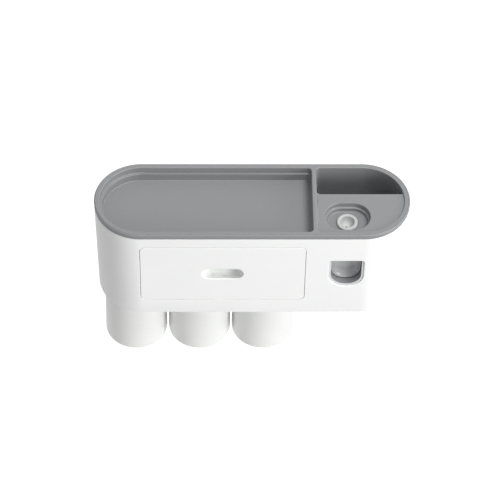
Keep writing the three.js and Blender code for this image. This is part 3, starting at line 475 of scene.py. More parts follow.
def combine(piece, operation, *forms):
    """Joins forms to a piece or cuts them from it, and keeps the plain result."""
    parts = [make(f"{piece.name}_{index}", form) for index, form in enumerate(forms)]
    for part in parts:
        change = piece.modifiers.new(part.name, "BOOLEAN")
        change.operation = operation
        change.solver = "EXACT"
        change.object = part
    bpy.context.view_layer.update()
    depsgraph = bpy.context.evaluated_depsgraph_get()
    plain = bpy.data.meshes.new_from_object(piece.evaluated_get(depsgraph))
    piece.modifiers.clear()
    piece.data = plain
    plain.name = piece.name
    for part in parts:
        bpy.data.objects.remove(part)


def weigh_edges(mesh, share):
    """Marks how much of the bevel each sharp edge takes."""
    bm = bmesh.new()
    bm.from_mesh(mesh)
    weight = bm.edges.layers.float.new("bevel_weight_edge")
    for edge in bm.edges:
        if edge.calc_face_angle(0) > SHARP:
            edge[weight] = share(*(vert.co for vert in edge.verts))
    bm.to_mesh(mesh)
    bm.free()


def dress(piece, body, nodes, material, edge=0, steps=3, share=None):
    """Eases the sharp edges by a share of the radius, gives the finish and hangs the piece."""
    mesh = piece.data
    mesh.shade_smooth()
    mesh.materials.clear()
    mesh.materials.append(material)
    if edge:
        weigh_edges(mesh, share or (lambda low, high: 1))
        bevel = piece.modifiers.new("Eased edges", "BEVEL")
        bevel.width = edge
        bevel.segments = steps
        bevel.limit_method = "WEIGHT"
        bevel.harden_normals = True
        bevel.use_clamp_overlap = False
    mesh.set_sharp_from_angle(angle=SHARP)
    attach(piece, body)
    if nodes:
        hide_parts(*nodes)


def add(tree, kind, inputs=None, **settings):
    """Adds a node with its settings, and sets or links its inputs."""
    node = tree.nodes.new(kind)
    for key, value in settings.items():
        setattr(node, key, value)
    for socket, value in (inputs or {}).items():
        if isinstance(value, bpy.types.NodeSocket):
            tree.links.new(value, node.inputs[socket])
        else:
            node.inputs[socket].default_value = value
    return node


def per_metre(millimetres):
    """Noise scale for a pattern of this size."""
    return 1 / (millimetres * MM)


def empty_tree(owner):
    """Node tree of a new material or world, with nothing in it yet."""
    owner.use_nodes = True
    owner.node_tree.nodes.clear()
    return owner.node_tree


def moulded(name, colour, roughness, ior, grain, depth, spread=0.06, **more):
    """Moulded plastic or rubber: fine grain from the mould and a little uneven gloss.
    The width of the grain and its depth are in millimetres."""
    material = bpy.data.materials.get(name)
    if material:
        return material
    material = bpy.data.materials.new(name)
    tree = empty_tree(material)
    place = add(tree, "ShaderNodeTexCoord").outputs["Object"]
    fine = add(tree, "ShaderNodeTexNoise", {
        "Vector": place, "Scale": per_metre(grain), "Detail": 3, "Roughness": 0.6,
    })
    flow = add(tree, "ShaderNodeTexNoise", {
        "Vector": place, "Scale": per_metre(FLOW), "Detail": 2,
    })
    tone = add(tree, "ShaderNodeMapRange", {
        "Value": flow.outputs["Fac"], **NOISE_SPAN, "To Min": 0.985, "To Max": 1,
    })
    shade = add(tree, "ShaderNodeVectorMath", {
        0: colour, "Scale": tone.outputs["Result"],
    }, operation="SCALE")
    gloss = add(tree, "ShaderNodeMapRange", {
        "Value": fine.outputs["Fac"], **NOISE_SPAN,
        "To Min": roughness - spread, "To Max": roughness + spread,
    })
    bump = add(tree, "ShaderNodeBump", {
        "Height": fine.outputs["Fac"], "Strength": 0.35, "Distance": depth * MM,
    })
    surface = add(tree, "ShaderNodeBsdfPrincipled", {
        "Base Color": shade.outputs["Vector"], "Roughness": gloss.outputs["Result"],
        "IOR": ior, "Normal": bump.outputs["Normal"], **more,
    })
    add(tree, "ShaderNodeOutputMaterial", {"Surface": surface.outputs["BSDF"]})
    return material


def white_abs(finishes):
    """ABS from a spark-eroded mould: satin white with a soft broad sheen.
    The grain is near 0.1 mm and is drawn at 0.5 mm so that it shows."""
    return moulded(
        "White ABS", finishes.white, roughness=0.42, ior=1.54, grain=0.5, depth=0.02,
        **{"Specular IOR Level": 0.2},
    )


def grey_abs(finishes):
    """ABS coloured grey, from a finely blasted mould: matt enough to show no lamp.
    The grain is near 0.1 mm and is drawn at 0.6 mm so that it shows."""
    return moulded(
        "Grey ABS", finishes.grey, roughness=0.48, ior=1.54, grain=0.6, depth=0.03,
        **{"Specular IOR Level": 0.4},
    )


def polished_grey_abs_with_painted_shade(finishes):
    """Paler grey ABS from a polished mould, for the face that a brush slides over. The grey is
    partly the paddle's own colour and partly painted shade of the deep outlet.
    """
    return moulded(
        "Polished grey ABS", finishes.paddle, roughness=0.24, ior=1.54, grain=0.8, depth=0.01
    )


def pale_abs_painted_shade(finishes):
    """ABS in a pale grey, satin, for the bezel of the outlet: the pale grey is painted shade,
    darkening the lip of the outlet as if it lay in shade.
    """
    return moulded(
        "Pale grey ABS", finishes.bezel, roughness=0.42, ior=1.54, grain=0.5, depth=0.02
    )


def cup_polypropylene(finishes):
    """Polypropylene: smooth, a little waxy, light goes slightly into it."""
    return moulded(
        "White polypropylene", finishes.cup, roughness=0.36, ior=1.49, grain=0.7, depth=0.015,
        **{"Subsurface Weight": 0.08, "Subsurface Radius": (0.004, 0.004, 0.004),
           "Subsurface Scale": 1.0},
    )


def silicone_rubber_with_painted_shade(finishes):
    """Silicone rubber: milky and dull, with a soft glow at thin edges. Its grey is partly its own
    tone and partly painted shade, which darkens the socket ring down in its seat.
    """
    return moulded(
        "Silicone rubber", finishes.silicone, roughness=0.55, ior=1.41, grain=0.4, depth=0.015,
        **{"Subsurface Weight": 0.12, "Subsurface Radius": (0.003, 0.003, 0.0028),
           "Subsurface Scale": 1.0},
    )


def clear_polycarbonate(finishes):
    """Polycarbonate plate: clear and glossy, a little grey at its edges."""
    return moulded(
        "Clear polycarbonate", finishes.clear, roughness=0.16, ior=1.58, grain=2.0, depth=0.01,
        spread=0.03, **{"Transmission Weight": 0.75},
    )


def adhesive_foam(finishes):
    """Acrylic foam tape: matt, with open cells near 0.5 mm."""
    return moulded(
        "Acrylic foam", finishes.adhesive, roughness=0.8, ior=1.47, grain=0.5, depth=0.12
    )


def zinc_plated_steel():
    """Zinc-plated steel: bright grey metal with dull patches."""
    name = "Zinc-plated steel"
    material = bpy.data.materials.get(name)
    if material:
        return material
    material = bpy.data.materials.new(name)
    tree = empty_tree(material)
    place = add(tree, "ShaderNodeTexCoord").outputs["Object"]
    patches = add(tree, "ShaderNodeTexNoise", {
        "Vector": place, "Scale": per_metre(PATCH), "Detail": 4,
    }).outputs["Fac"]
    gloss = add(tree, "ShaderNodeMapRange", {
        "Value": patches, **NOISE_SPAN, "To Min": 0.24, "To Max": 0.42,
    })
    tone = add(tree, "ShaderNodeMapRange", {
        "Value": patches, **NOISE_SPAN, "To Min": 0.9, "To Max": 1,
    })
    shade = add(tree, "ShaderNodeVectorMath", {
        0: linear("BDBEC0"), "Scale": tone.outputs["Result"],
    }, operation="SCALE")
    surface = add(tree, "ShaderNodeBsdfPrincipled", {
        "Base Color": shade.outputs["Vector"], "Roughness": gloss.outputs["Result"],
        "Metallic": 1,
    })
    add(tree, "ShaderNodeOutputMaterial", {"Surface": surface.outputs["BSDF"]})
    return material


def front_at(z, taper):
    """Front face of the body at a height."""
    return BODY_LOW.y + taper * (BODY_HIGH.z - z) / HEIGHT


def body_ring(bm, sizes, z, inset):
    """Outline of the body at a height."""
    taper = sizes.taper * (BODY_HIGH.z - z) / HEIGHT
    depth = DEPTH - taper
    return stadium(bm, -depth / 2, z, LENGTH - 2 * taper - 2 * inset, depth - 2 * inset)


def body_tube(sizes):
    """Outer skin, foot rounding and inner skin of the body."""
    bm = bmesh.new()
    outline = [
        (2 * BODY_LOW.z - place, inset)
        for inset, place in rounding(sizes.foot, BODY_LOW.z, CORNER)[::-1]
    ]
    outline += [(BODY_HIGH.z, 0), (BODY_HIGH.z, sizes.wall), (BODY_LOW.z, sizes.wall)]
    rings = [body_ring(bm, sizes, z, inset) for z, inset in outline]
    for low, high in zip(rings, rings[1:] + rings[:1]):
        bmesh.ops.bridge_loops(bm, edges=low + high)
    return bm


def wall_recess(sizes, node):
    """Backing of the recess for a wall plate, and the cutters of the recess and its keyhole."""
    low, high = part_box(node)
    x = (low.x + high.x) / 2
    room = (high.x - low.x) / 2 + PLATE_GAP
    outside = room + sizes.wall
    corner = PLATE_CORNER + PLATE_GAP
    deep = -sizes.recess - sizes.wall
    start = deep - OVERSHOOT
    half = KEY_SLOT / 2
    backing = block((x - outside, deep, -outside), (x + outside, -sizes.wall / 2, outside))
    cutters = [
        front_block(
            (x - room, -sizes.recess, -room), (x + room, OVERSHOOT, room), corner, corner
        ),
        rod((x, start, -KEYHOLE_DROP), (x, 0, -KEYHOLE_DROP), KEYHOLE),
        front_block(
            (x - half, start, -KEYHOLE_DROP), (x + half, 0, half), TINY, half * ALL_ROUND
        ),
    ]
    return backing, cutters


def outlet_levels(sizes):
    """Lowest and highest level of the outlet."""
    high = BODY_HIGH.z - sizes.outlet_drop
    return high - sizes.outlet_height, high


def outlet_form(reach, front, back, low, high, corner=TINY):
    """Form that follows the outlet: round below, with small corners above."""
    return front_block(
        (TUBE.x - reach, front, low), (TUBE.x + reach, back, high),
        reach * ALL_ROUND, corner, 2 * CORNER,
    )


class HOLDER_OT_body(bpy.types.Operator):
    """White body with its drawer opening, outlet and recesses for the wall plates"""

    bl_idname = "holder.body"
    bl_label = "Body"

    def execute(self, context):
        scene = context.scene
        sizes, tray = scene.holder_body, scene.holder_tray
        gap, wall = sizes.clearance, sizes.wall
        piece = make("moulded_body", body_tube(sizes))

        floor_top = PANEL_LOW.z - gap
        floor_low = floor_top - sizes.floor
        floor = bmesh.new()
        loft(floor, [body_ring(floor, sizes, z, wall / 2) for z in (floor_low, floor_top)])
        left = TUB_HIGH.x + 2 * TUB_GAP + gap
        partition_top = TRAY_HIGH.z - tray.pan_depth - tray.pan_sheet - gap
        partition = block(
            (left, BODY_LOW.y + wall, floor_low),
            (left + sizes.partition, -wall / 2, partition_top),
        )
        guides = [
            block((x, TUB_LOW.y, floor_low), (x + GUIDE, TUB_HIGH.y, floor_top + GUIDE_HEIGHT))
            for x in (TUB_LOW.x - gap - GUIDE, TUB_HIGH.x + gap)
        ]
        low, high = outlet_levels(sizes)
        half = sizes.outlet_width / 2
        collar_back = front_at(low, sizes.taper) + sizes.collar
        collar = outlet_form(
            half + wall, BODY_LOW.y + COLLAR_ROOT, collar_back, low - wall, high + wall,
            sizes.outlet_corner + wall,
        )
        backings, cuts = [], []
        for node in ("wall_plate_1", "wall_plate_2"):
            backing, cutters = wall_recess(sizes, node)
            backings.append(backing)
            cuts += cutters
        combine(piece, "UNION", floor, partition, *guides, collar, *backings)

        corner = scene.holder_drawer.corner + gap
        cuts.append(front_block(
            (PANEL_LOW.x - gap, BODY_LOW.y - OVERSHOOT, PANEL_LOW.z - gap),
            (PANEL_HIGH.x + gap, TUB_LOW.y, PANEL_HIGH.z + gap), corner, corner,
        ))
        cuts.append(outlet_form(
            half, BODY_LOW.y - OVERSHOOT, collar_back + OVERSHOOT, low, high, sizes.outlet_corner
        ))
        combine(piece, "DIFFERENCE", *cuts)

        def on_outside(*ends):
            """All of the radius on the front, the top and the back, and none inside."""
            return float(all(
                point.y < front_at(point.z, sizes.taper) + NEAR
                or point.z > BODY_HIGH.z - TINY or point.y > -TINY
                for point in ends
            ))

        finish = white_abs(scene.holder_finishes)
        dress(piece, "holder", ["body_shell"], finish, sizes.edge, share=on_outside)
        return {"FINISHED"}


class HOLDER_OT_outlet(bpy.types.Operator):
    """Bezel just inside the outlet, its pale grey painted shade, and the grey channel behind it
    """

    bl_idname = "holder.outlet"
    bl_label = "Outlet"

    def execute(self, context):
        sizes = context.scene.holder_body
        finishes = context.scene.holder_finishes
        low, high = outlet_levels(sizes)
        half = sizes.outlet_width / 2
        inner = half - sizes.bezel
        floor = low + sizes.bezel
        bezel_front = front_at(low, sizes.taper) + sizes.bezel_setback
        bezel_back = bezel_front + sizes.bezel_depth
        forms = (
            ("outlet_bezel", pale_abs_painted_shade(finishes), outlet_form(
                half - BEZEL_FIT, bezel_front, bezel_back,
                low + BEZEL_FIT, high - BEZEL_FIT, sizes.outlet_corner,
            )),
            ("outlet_channel", grey_abs(finishes), outlet_form(
                inner + sizes.channel, bezel_back + 2 * HAIR, PADDLE_LOW.y - PUSH_GAP,
                floor - sizes.channel, high - sizes.outlet_corner,
            )),
        )
        for name, finish, form in forms:
            piece = make(name, form)
            opening = outlet_form(inner, BODY_LOW.y, PADDLE_HIGH.y, floor, high)
            combine(piece, "DIFFERENCE", opening)
            dress(piece, "holder", [], finish)
        return {"FINISHED"}


def narrow(bm, level, taper):
    """Draws the loop at one level of a form in toward its middle."""
    verts = [vert for vert in bm.verts if abs(vert.co.z - level) < TINY]
    low = Vector([min(vert.co[axis] for vert in verts) for axis in (X, Y, Z)])
    high = Vector([max(vert.co[axis] for vert in verts) for axis in (X, Y, Z)])
    middle = (low + high) / 2
    shrink = [1 - 2 * taper / (high[axis] - low[axis]) for axis in (X, Y)] + [1]
    bmesh.ops.scale(bm, verts=verts, vec=shrink, space=Matrix.Translation(-middle))


def sunk(sizes, levels, left=None, right=None, front=None, fillet=0, inset=0):
    """Space inside the rim between levels, cut off at the left, right or front."""
    less = 2 * (sizes.rim_width + inset)
    bm = stadium_block(MIDDLE_Y, (levels[0], levels[-1]), LENGTH - less, DEPTH - less)
    sides = [
        (axis, place, side)
        for axis, place, side in ((X, left, -1), (X, right, 1), (Y, front, -1))
        if place is not None
    ]
    for side in sides:
        trim_at(bm, *side)
    corners = [edge for axis, place, _ in sides for edge in edges_along(bm, Z, place, axis)]
    ease(bm, list(dict.fromkeys(corners)), sizes.pan_corner)
    for level in levels[1:-1]:
        geometry = bm.verts[:] + bm.edges[:] + bm.faces[:]
        bmesh.ops.bisect_plane(bm, geom=geometry, plane_co=(0, 0, level), plane_no=(0, 0, 1))
        narrow(bm, levels[-1], CLEAR)
    if fillet:
        ease(bm, edges_at(bm, levels[0]), fillet, FILLET)
    return bm


class HOLDER_OT_tray(bpy.types.Operator):
    """Grey tray: rim, pan, divider, deck with the oval tube seat, and the bin"""

    bl_idname = "holder.tray"
    bl_label = "Tray"

    def execute(self, context):
        sizes = context.scene.holder_tray
        wall = sizes.wall
        rim_top = TRAY_HIGH.z
        rim_low = rim_top - sizes.rim_height
        pan_floor = rim_top - sizes.pan_depth
        pan_shelf = rim_top - sizes.pan_step
        deck = rim_top - sizes.deck_drop
        seat_floor = deck - sizes.seat_depth
        seat_shelf = deck - sizes.seat_step
        bin_floor = deck - sizes.bin_depth
        bin_front = BODY_LOW.y + sizes.bin_place
        divider = BODY_HIGH.x - sizes.divider_place
        pan_right = divider - sizes.divider / 2
        deck_left = divider + sizes.divider / 2 + sizes.bin_ledge
        above = rim_top + OVERSHOOT

        rim = bmesh.new()
        crown = [(0, rim_low)] + [(inset, rim_top - drop) for inset, drop in RIM_CROWN]
        loft(rim, [
            stadium(rim, MIDDLE_Y, z, LENGTH - 2 * inset, DEPTH - 2 * inset) for inset, z in crown
        ])
        piece = make("moulded_tray", rim)

        def under(low, high, inset=0):
            less = 2 * (sizes.rim_width - wall + inset)
            return stadium_block(MIDDLE_Y, (low, high), LENGTH - less, DEPTH - less)

        def oval(low, high, grow=0):
            length, width = sizes.seat_length + grow, sizes.seat_width + grow
            return stadium_block(TUBE.y, (low, high), length, width, TUBE.x)

        rooted = rim_low + wall
        pan_outside = [
            under(pan_shelf - wall, rooted),
            under(pan_floor - sizes.pan_sheet, pan_shelf, sizes.pan_ledge),
        ]
        for form in pan_outside:
            trim_at(form, X, pan_right + wall, 1)
        bin_outside = under(TRAY_LOW.z, rooted)
        trim_at(bin_outside, X, deck_left - wall, -1)
        trim_at(bin_outside, Y, bin_front - wall, -1)
        narrow(bin_outside, TRAY_LOW.z, sizes.bin_taper)
        walls, ledges = 2 * wall, 2 * sizes.seat_ledge
        combine(
            piece, "UNION", *pan_outside, bin_outside,
            oval(seat_shelf - wall, rooted, walls),
            oval(seat_floor - wall, seat_shelf, walls - ledges),
        )

        bin_inside = sunk(sizes, (bin_floor, deck, above), left=deck_left, front=bin_front)
        narrow(bin_inside, bin_floor, sizes.bin_taper)
        seat_foot = oval(seat_floor, seat_shelf + OVERSHOOT, -ledges)
        ease(seat_foot, edges_at(seat_foot, seat_floor), sizes.fillet, steps=4)
        combine(
            piece, "DIFFERENCE",
            sunk(sizes, (pan_shelf, above), right=pan_right),
            sunk(sizes, (pan_floor, pan_shelf, pan_shelf + OVERSHOOT), right=pan_right,
                 fillet=sizes.pan_fillet, inset=sizes.pan_ledge),
            sunk(sizes, (deck, above), left=deck_left),
            bin_inside,
            oval(seat_shelf, deck + OVERSHOOT),
            seat_foot,
            rod((TUBE.x, TUBE.y, seat_floor - walls), (TUBE.x, TUBE.y, deck), sizes.seat_hole),
        )
        pan_corners = pan_right - 1.5 * sizes.pan_corner  # the pan's corners lie right of this

        def share(*ends):
            """All of the radius on the divider toward the deck, none low in the pan's corners."""
            if all(abs(point.x - deck_left) < TINY and point.z > deck + TINY for point in ends):
                return 1
            in_corner = any(pan_corners < point.x < pan_right + TINY for point in ends)
            if in_corner and all(point.z < pan_shelf + TINY for point in ends):
                return 0
            return sizes.edge / sizes.divider_edge

        finish = grey_abs(context.scene.holder_finishes)
        edge = sizes.divider_edge
        dress(piece, "tray", ["top_tray"], finish, edge, steps=4, share=share)
        return {"FINISHED"}


class HOLDER_OT_drawer(bpy.types.Operator):
    """Drawer: front panel with the finger scoop, and the tub behind it"""

    bl_idname = "holder.drawer"
    bl_label = "Drawer"

    def execute(self, context):
        sizes = context.scene.holder_drawer
        taper = context.scene.holder_body.taper
        finish = white_abs(context.scene.holder_finishes)
        wall, behind = sizes.wall, sizes.scoop_behind
        around = behind + wall
        panel_front = front_at(PANEL_LOW.z, taper)
        panel_back = panel_front + sizes.panel
        scoop_front = front_at(SCOOP_CENTRE.z, taper)
        scoop_floor = scoop_front + sizes.scoop_depth
        brow = scoop_front + sizes.scoop_brow
        panel = front_block(
            (PANEL_LOW.x, BODY_LOW.y - OVERSHOOT, PANEL_LOW.z),
            (PANEL_HIGH.x, panel_back, PANEL_HIGH.z), sizes.corner, sizes.corner,
        )
        trim(panel, (0, panel_front, PANEL_LOW.z), (0, -HEIGHT, -taper))
        piece = make("drawer_panel", panel)

        def scoop(steps):
            """Form through loops that are so much longer and taller than the scoop."""
            bm = bmesh.new()
            rings = []
            for wider, taller, y in steps:
                reach = sizes.scoop_length / 2 + wider
                rise = sizes.scoop_height / 2 + taller
                rings.append(front_outline(
                    bm, (SCOOP_CENTRE.x - reach, SCOOP_CENTRE.z - rise),
                    (SCOOP_CENTRE.x + reach, SCOOP_CENTRE.z + rise), y,
                    rise * ALL_ROUND, rise * ALL_ROUND,
                ))
            return loft(bm, rings)

        outside = [
            (wall - inset, around - inset, y)
            for inset, y in rounding(sizes.scoop_fillet, scoop_floor + wall)
        ]
        hollow = [
            (SCOOP_WIDEN - inset, behind - inset, y)
            for inset, y in rounding(sizes.scoop_fillet, scoop_floor)
        ]
        root = panel_back - SCOOP_ROOT * sizes.panel
        combine(piece, "UNION", scoop([(wall, around, root), *outside]))
        combine(piece, "DIFFERENCE", scoop([
            (0, 0, BODY_LOW.y - 2 * OVERSHOOT), (0, 0, brow),
            (SCOOP_WIDEN, behind, brow + HAIR), *hollow,
        ]))
        dress(piece, "drawer", ["drawer_front"], finish, sizes.edge)

        top = TUB_HIGH.z - sizes.stop
        foot = TUB_LOW.z + wall
        box = block(TUB_LOW, (TUB_HIGH.x, TUB_HIGH.y, top))
        ease(box, edges_along(box, Y, at=TUB_LOW.z), sizes.corner)
        tub = make("drawer_tub", box)
        stops = [
            block(
                (x - sizes.stop_width / 2, TUB_HIGH.y - wall, foot),
                (x + sizes.stop_width / 2, TUB_HIGH.y, TUB_HIGH.z),
            )
            for x in (PANEL_LOW.x + sizes.stop_inset, PANEL_HIGH.x - sizes.stop_inset)
        ]
        room = block(
            (TUB_LOW.x + wall, TUB_LOW.y + wall, foot),
            (TUB_HIGH.x - wall, TUB_HIGH.y - wall, top + OVERSHOOT),
        )
        ease(room, edges_along(room, Z) + edges_at(room, foot), sizes.corner / 2)
        hole = scoop([
            (wall + SCOOP_GAP, around + SCOOP_GAP, y)
            for y in (TUB_LOW.y - OVERSHOOT, TUB_LOW.y + 3 * wall)
        ])
        combine(tub, "DIFFERENCE", room, hole)
        combine(tub, "UNION", *stops)
        dress(tub, "drawer", ["drawer_box"], finish, sizes.edge, steps=2)
        return {"FINISHED"}


class HOLDER_OT_socket(bpy.types.Operator):
    """Silicone socket that the neck of the tube is pushed into"""

    bl_idname = "holder.socket"
    bl_label = "Socket"

    def execute(self, context):
        sizes = context.scene.holder_dispenser
        outer = (SOCKET_HIGH.x - SOCKET_LOW.x) / 2 + RING_WIDER
        mouth, sleeve, drain = sizes.mouth / 2, sizes.sleeve / 2, sizes.drain / 2
        low, top = SOCKET_LOW.z, SOCKET_HIGH.z + RING_PROUD
        flange_low = top - sizes.flange
        slope = (mouth - drain) / sizes.bowl
        bowl = [
            (mouth - slope * inset, 2 * top - place - sizes.bowl)
            for inset, place in rounding(sizes.bowl, top)
        ]
        socket = turned([
            (drain, low), (sleeve, low), (sleeve, flange_low), (outer, flange_low),
            (outer, top), *bowl, (drain, low),
        ], TUBE.x, TUBE.y)
        for radius, edge in ((outer, sizes.ring_edge), (mouth, sizes.mouth_edge)):
            ease(socket, circle_edges(socket, TUBE.x, TUBE.y, radius, top), edge)
        piece = make("socket_ring", socket)
        nub = bmesh.new()
        place = Matrix.Translation((TUBE.x, TUBE.y - mouth, top - sizes.nub / 4))
        bmesh.ops.create_uvsphere(
            nub, u_segments=24, v_segments=12, radius=sizes.nub / 2, matrix=place
        )
        combine(piece, "UNION", nub)
        finish = silicone_rubber_with_painted_shade(context.scene.holder_finishes)
        dress(piece, "holder", ["tube_socket"], finish)
        return {"FINISHED"}


def dished_blade(sizes, front, back):
    """Blade of the paddle: flat rim, smooth hollow in front and a rounded back."""
    bm = bmesh.new()
    half = (PADDLE_HIGH.x - PADDLE_LOW.x) / 2
    hollow = [
        (sizes.paddle_rim + 2 * inset, max(y, front + 5 * HAIR))
        for inset, y in rounding(sizes.dish, front + sizes.dish)
    ]
    crown = [(inset, 2 * front - y) for inset, y in rounding(sizes.paddle_rim / 2, front, 4)]
    behind = rounding(sizes.dish, back)
    rings = []
    for inset, y in hollow[::-1] + crown[::-1] + behind:
        rings.append(front_outline(
            bm, (PADDLE_LOW.x + inset, PADDLE_LOW.z + inset),
            (PADDLE_HIGH.x - inset, sizes.paddle_top - inset), y,
            (half - inset) * ALL_ROUND, sizes.blade_corner,
        ))
    return loft(bm, rings)


class HOLDER_OT_paddle(bpy.types.Operator):
    """Dished push paddle with its arms and hinge barrel"""

    bl_idname = "holder.paddle"
    bl_label = "Paddle"

    def execute(self, context):
        sizes = context.scene.holder_dispenser
        half = (PADDLE_HIGH.x - PADDLE_LOW.x) / 2
        back = PADDLE_LOW.y + sizes.paddle_rim + sizes.dish
        seat = back + SPRING_SEAT
        root = back - sizes.dish / 2
        pin = (PIN_LOW + PIN_HIGH) / 2
        bulb_z = (BULB_LOW.z + BULB_HIGH.z) / 2
        piece = make("dished_paddle", dished_blade(sizes, PADDLE_LOW.y, back))
        arms = []
        for sign in (-1, 1):
            x = TUBE.x + sign * (half - sizes.dish - sizes.arm / 2)
            arm = block(
                (x - sizes.arm / 2, root, sizes.paddle_top - 2 * sizes.blade_corner),
                (x + sizes.arm / 2, seat, pin.z),
            )
            upper = [vert for vert in arm.verts if vert.co.z > sizes.paddle_top]
            bmesh.ops.translate(arm, verts=upper, vec=(0, pin.y - (root + seat) / 2, 0))
            arms.append(arm)

        def toward_bulb(start, end, diameter):
            return rod((TUBE.x, start, bulb_z), (TUBE.x, end, bulb_z), diameter)

        def along_pin(start, end, diameter):
            return rod((start, pin.y, pin.z), (end, pin.y, pin.z), diameter)

        combine(
            piece, "UNION",
            toward_bulb(back - sizes.paddle_rim / 2, seat, SPRING_PLATE),
            toward_bulb(back, BULB_LOW.y - PUSH_GAP, PUSHER),
            *arms,
            along_pin(PADDLE_LOW.x, PADDLE_HIGH.x, sizes.barrel),
        )
        combine(piece, "DIFFERENCE", along_pin(
            PIN_LOW.x - OVERSHOOT, PIN_HIGH.x + OVERSHOOT, sizes.pin_hole
        ))
        # Grey finish: partly the paddle's own colour, partly painted shade of the outlet.
        finish = polished_grey_abs_with_painted_shade(context.scene.holder_finishes)
        edge = sizes.paddle_edge
        dress(piece, "paddle", ["push_paddle"], finish, edge, steps=2)
        return {"FINISHED"}


class HOLDER_OT_pump(bpy.types.Operator):
    """Squeeze bulb and return spring, which give way when the paddle is pushed"""

    bl_idname = "holder.pump"
    bl_label = "Pump"

    def execute(self, context):
        sizes = context.scene.holder_dispenser
        finishes = context.scene.holder_finishes
        nose, seat = BULB_LOW.y, BULB_HIGH.y
        middle = (BULB_LOW + BULB_HIGH) / 2
        flange = (BULB_HIGH.x - BULB_LOW.x) / 2
        shoulder = seat - 2 * sizes.bulb_wall

        def dome(radius, start):
            turns = [math.pi / 2 * step / CORNER for step in range(CORNER + 1)]
            tall = sizes.bulb_dome * radius / (sizes.bulb / 2)
            return [(radius * math.sin(t), start + tall * (1 - math.cos(t))) for t in turns]

        hollow = sizes.bulb / 2 - sizes.bulb_wall
        shell = turned([
            *dome(sizes.bulb / 2, nose),
            (sizes.bulb / 2, shoulder),
            (flange, shoulder),
            (flange, seat),
            (hollow, seat),
            *dome(hollow, nose + sizes.bulb_wall)[::-1],
        ], 0, 0, SMALL_ROUND)
        lying = Matrix.Rotation(-math.pi / 2, 3, "X")
        bmesh.ops.rotate(shell, verts=shell.verts, cent=(0, 0, 0), matrix=lying)
        bmesh.ops.translate(shell, verts=shell.verts, vec=(middle.x, 0, middle.z))
        bulb = make("silicone_bulb", shell)
        dress(bulb, "holder", ["squeeze_bulb"], silicone_rubber_with_painted_shade(finishes))
        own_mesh(bulb)

        low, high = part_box("return_spring")
        coil = bmesh.new()
        reach = (high.x - low.x - sizes.wire) / 2
        start = Matrix.Translation((middle.x + reach, low.y + sizes.wire / 2, middle.z))
        wire = bmesh.ops.create_circle(
            coil, segments=CORNER * 2, radius=sizes.wire / 2, matrix=start
        )["verts"]
        steps = SMALL_ROUND * SPRING_TURNS
        rise = (high.y - low.y - sizes.wire) / steps
        bmesh.ops.spin(
            coil, geom=wire + ring_edges(wire), cent=(middle.x, 0, middle.z), axis=(0, 1, 0),
            dvec=(0, rise, 0), angle=2 * math.pi * SPRING_TURNS, steps=steps,
        )
        close(coil, [edge for edge in coil.edges if edge.is_boundary])
        spring = make("coil_spring", coil)
        dress(spring, "holder", ["return_spring"], zinc_plated_steel())
        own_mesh(spring)
        return {"FINISHED"}


class HOLDER_OT_cups(bpy.types.Operator):
    """Three cups that hang mouth down"""

    bl_idname = "holder.cups"
    bl_label = "Cups"

    def execute(self, context):
        sizes = context.scene.holder_cups
        finish = cup_polypropylene(context.scene.holder_finishes)
        for index, body in enumerate(("first_cup", "second_cup", "third_cup"), 1):
            low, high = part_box(f"cup_{index}")
            middle = (low + high) / 2
            foot = sizes.foot / 2
            mouth = (high.x - low.x) / 2
            floor = high.z - sizes.base
            cup = turned([
                (0, high.z - 2 * sizes.step),
                (sizes.disc_hole / 2, high.z - 2 * sizes.step),
                (sizes.disc_hole / 2, high.z - sizes.step),
                (sizes.cap_hole / 2, high.z - sizes.step),
                (sizes.cap_hole / 2, high.z),
                (foot, high.z),
                (mouth, low.z),
                (mouth - sizes.wall, low.z),
                (foot - sizes.wall, floor),
                (0, floor),
            ], middle.x, middle.y)
            for radius, z, ease_radius in (
                (foot, high.z, sizes.rounding),
                (mouth, low.z, sizes.lip),
                (mouth - sizes.wall, low.z, sizes.lip),
                (foot - sizes.wall, floor, sizes.rounding),
            ):
                ease(cup, circle_edges(cup, middle.x, middle.y, radius, z), ease_radius)
            piece = make(f"hanging_cup_{index}", cup)
            dress(piece, body, [f"cup_{index}"], finish)
        return {"FINISHED"}


class HOLDER_OT_fittings(bpy.types.Operator):
    """Finishes of the fittings that keep their packed shape"""

    bl_idname = "holder.fittings"
    bl_label = "Fittings"

    def execute(self, context):
        finishes = context.scene.holder_finishes
        by_word = (
            ("screw", zinc_plated_steel()),
            ("magnet_cap", white_abs(finishes)),
            ("magnet", zinc_plated_steel()),
            ("disc", zinc_plated_steel()),
            ("pin", zinc_plated_steel()),
            ("valve", silicone_rubber_with_painted_shade(finishes)),
            ("frame", grey_abs(finishes)),
            ("plate", clear_polycarbonate(finishes)),
            ("adhesive", adhesive_foam(finishes)),
            ("cup_cap", cup_polypropylene(finishes)),
            ("", white_abs(finishes)),
        )
        for name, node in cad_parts.items():
            finish = next(material for word, material in by_word if word in name)
            node.data.materials.clear()
            node.data.materials.append(finish)
        return {"FINISHED"}


def seen_directly(tree):
    """1 where a ray comes from the camera, a reflection or clear plastic, else 0."""
    path = add(tree, "ShaderNodeLightPath")
    seen = path.outputs["Is Camera Ray"]
    for ray in ("Is Glossy Ray", "Is Transmission Ray"):
        seen = add(tree, "ShaderNodeMath", {0: seen, 1: path.outputs[ray]},
                   operation="MAXIMUM").outputs["Value"]
    return seen


def pale_floor():
    """Matt white paper: it carries the shadow and is near white to the eye."""
    material = bpy.data.materials.new("White paper")
    tree = empty_tree(material)
    paper = add(tree, "ShaderNodeBsdfDiffuse", {"Color": (*linear("CFCFCF"), 1)})
    glow = add(tree, "ShaderNodeEmission", {"Strength": 0.55})
    both = add(tree, "ShaderNodeAddShader", {0: paper.outputs[0], 1: glow.outputs[0]})
    mix = add(tree, "ShaderNodeMixShader", {
        0: seen_directly(tree), 1: paper.outputs[0], 2: both.outputs[0],
    })
    add(tree, "ShaderNodeOutputMaterial", {"Surface": mix.outputs[0]})
    return material


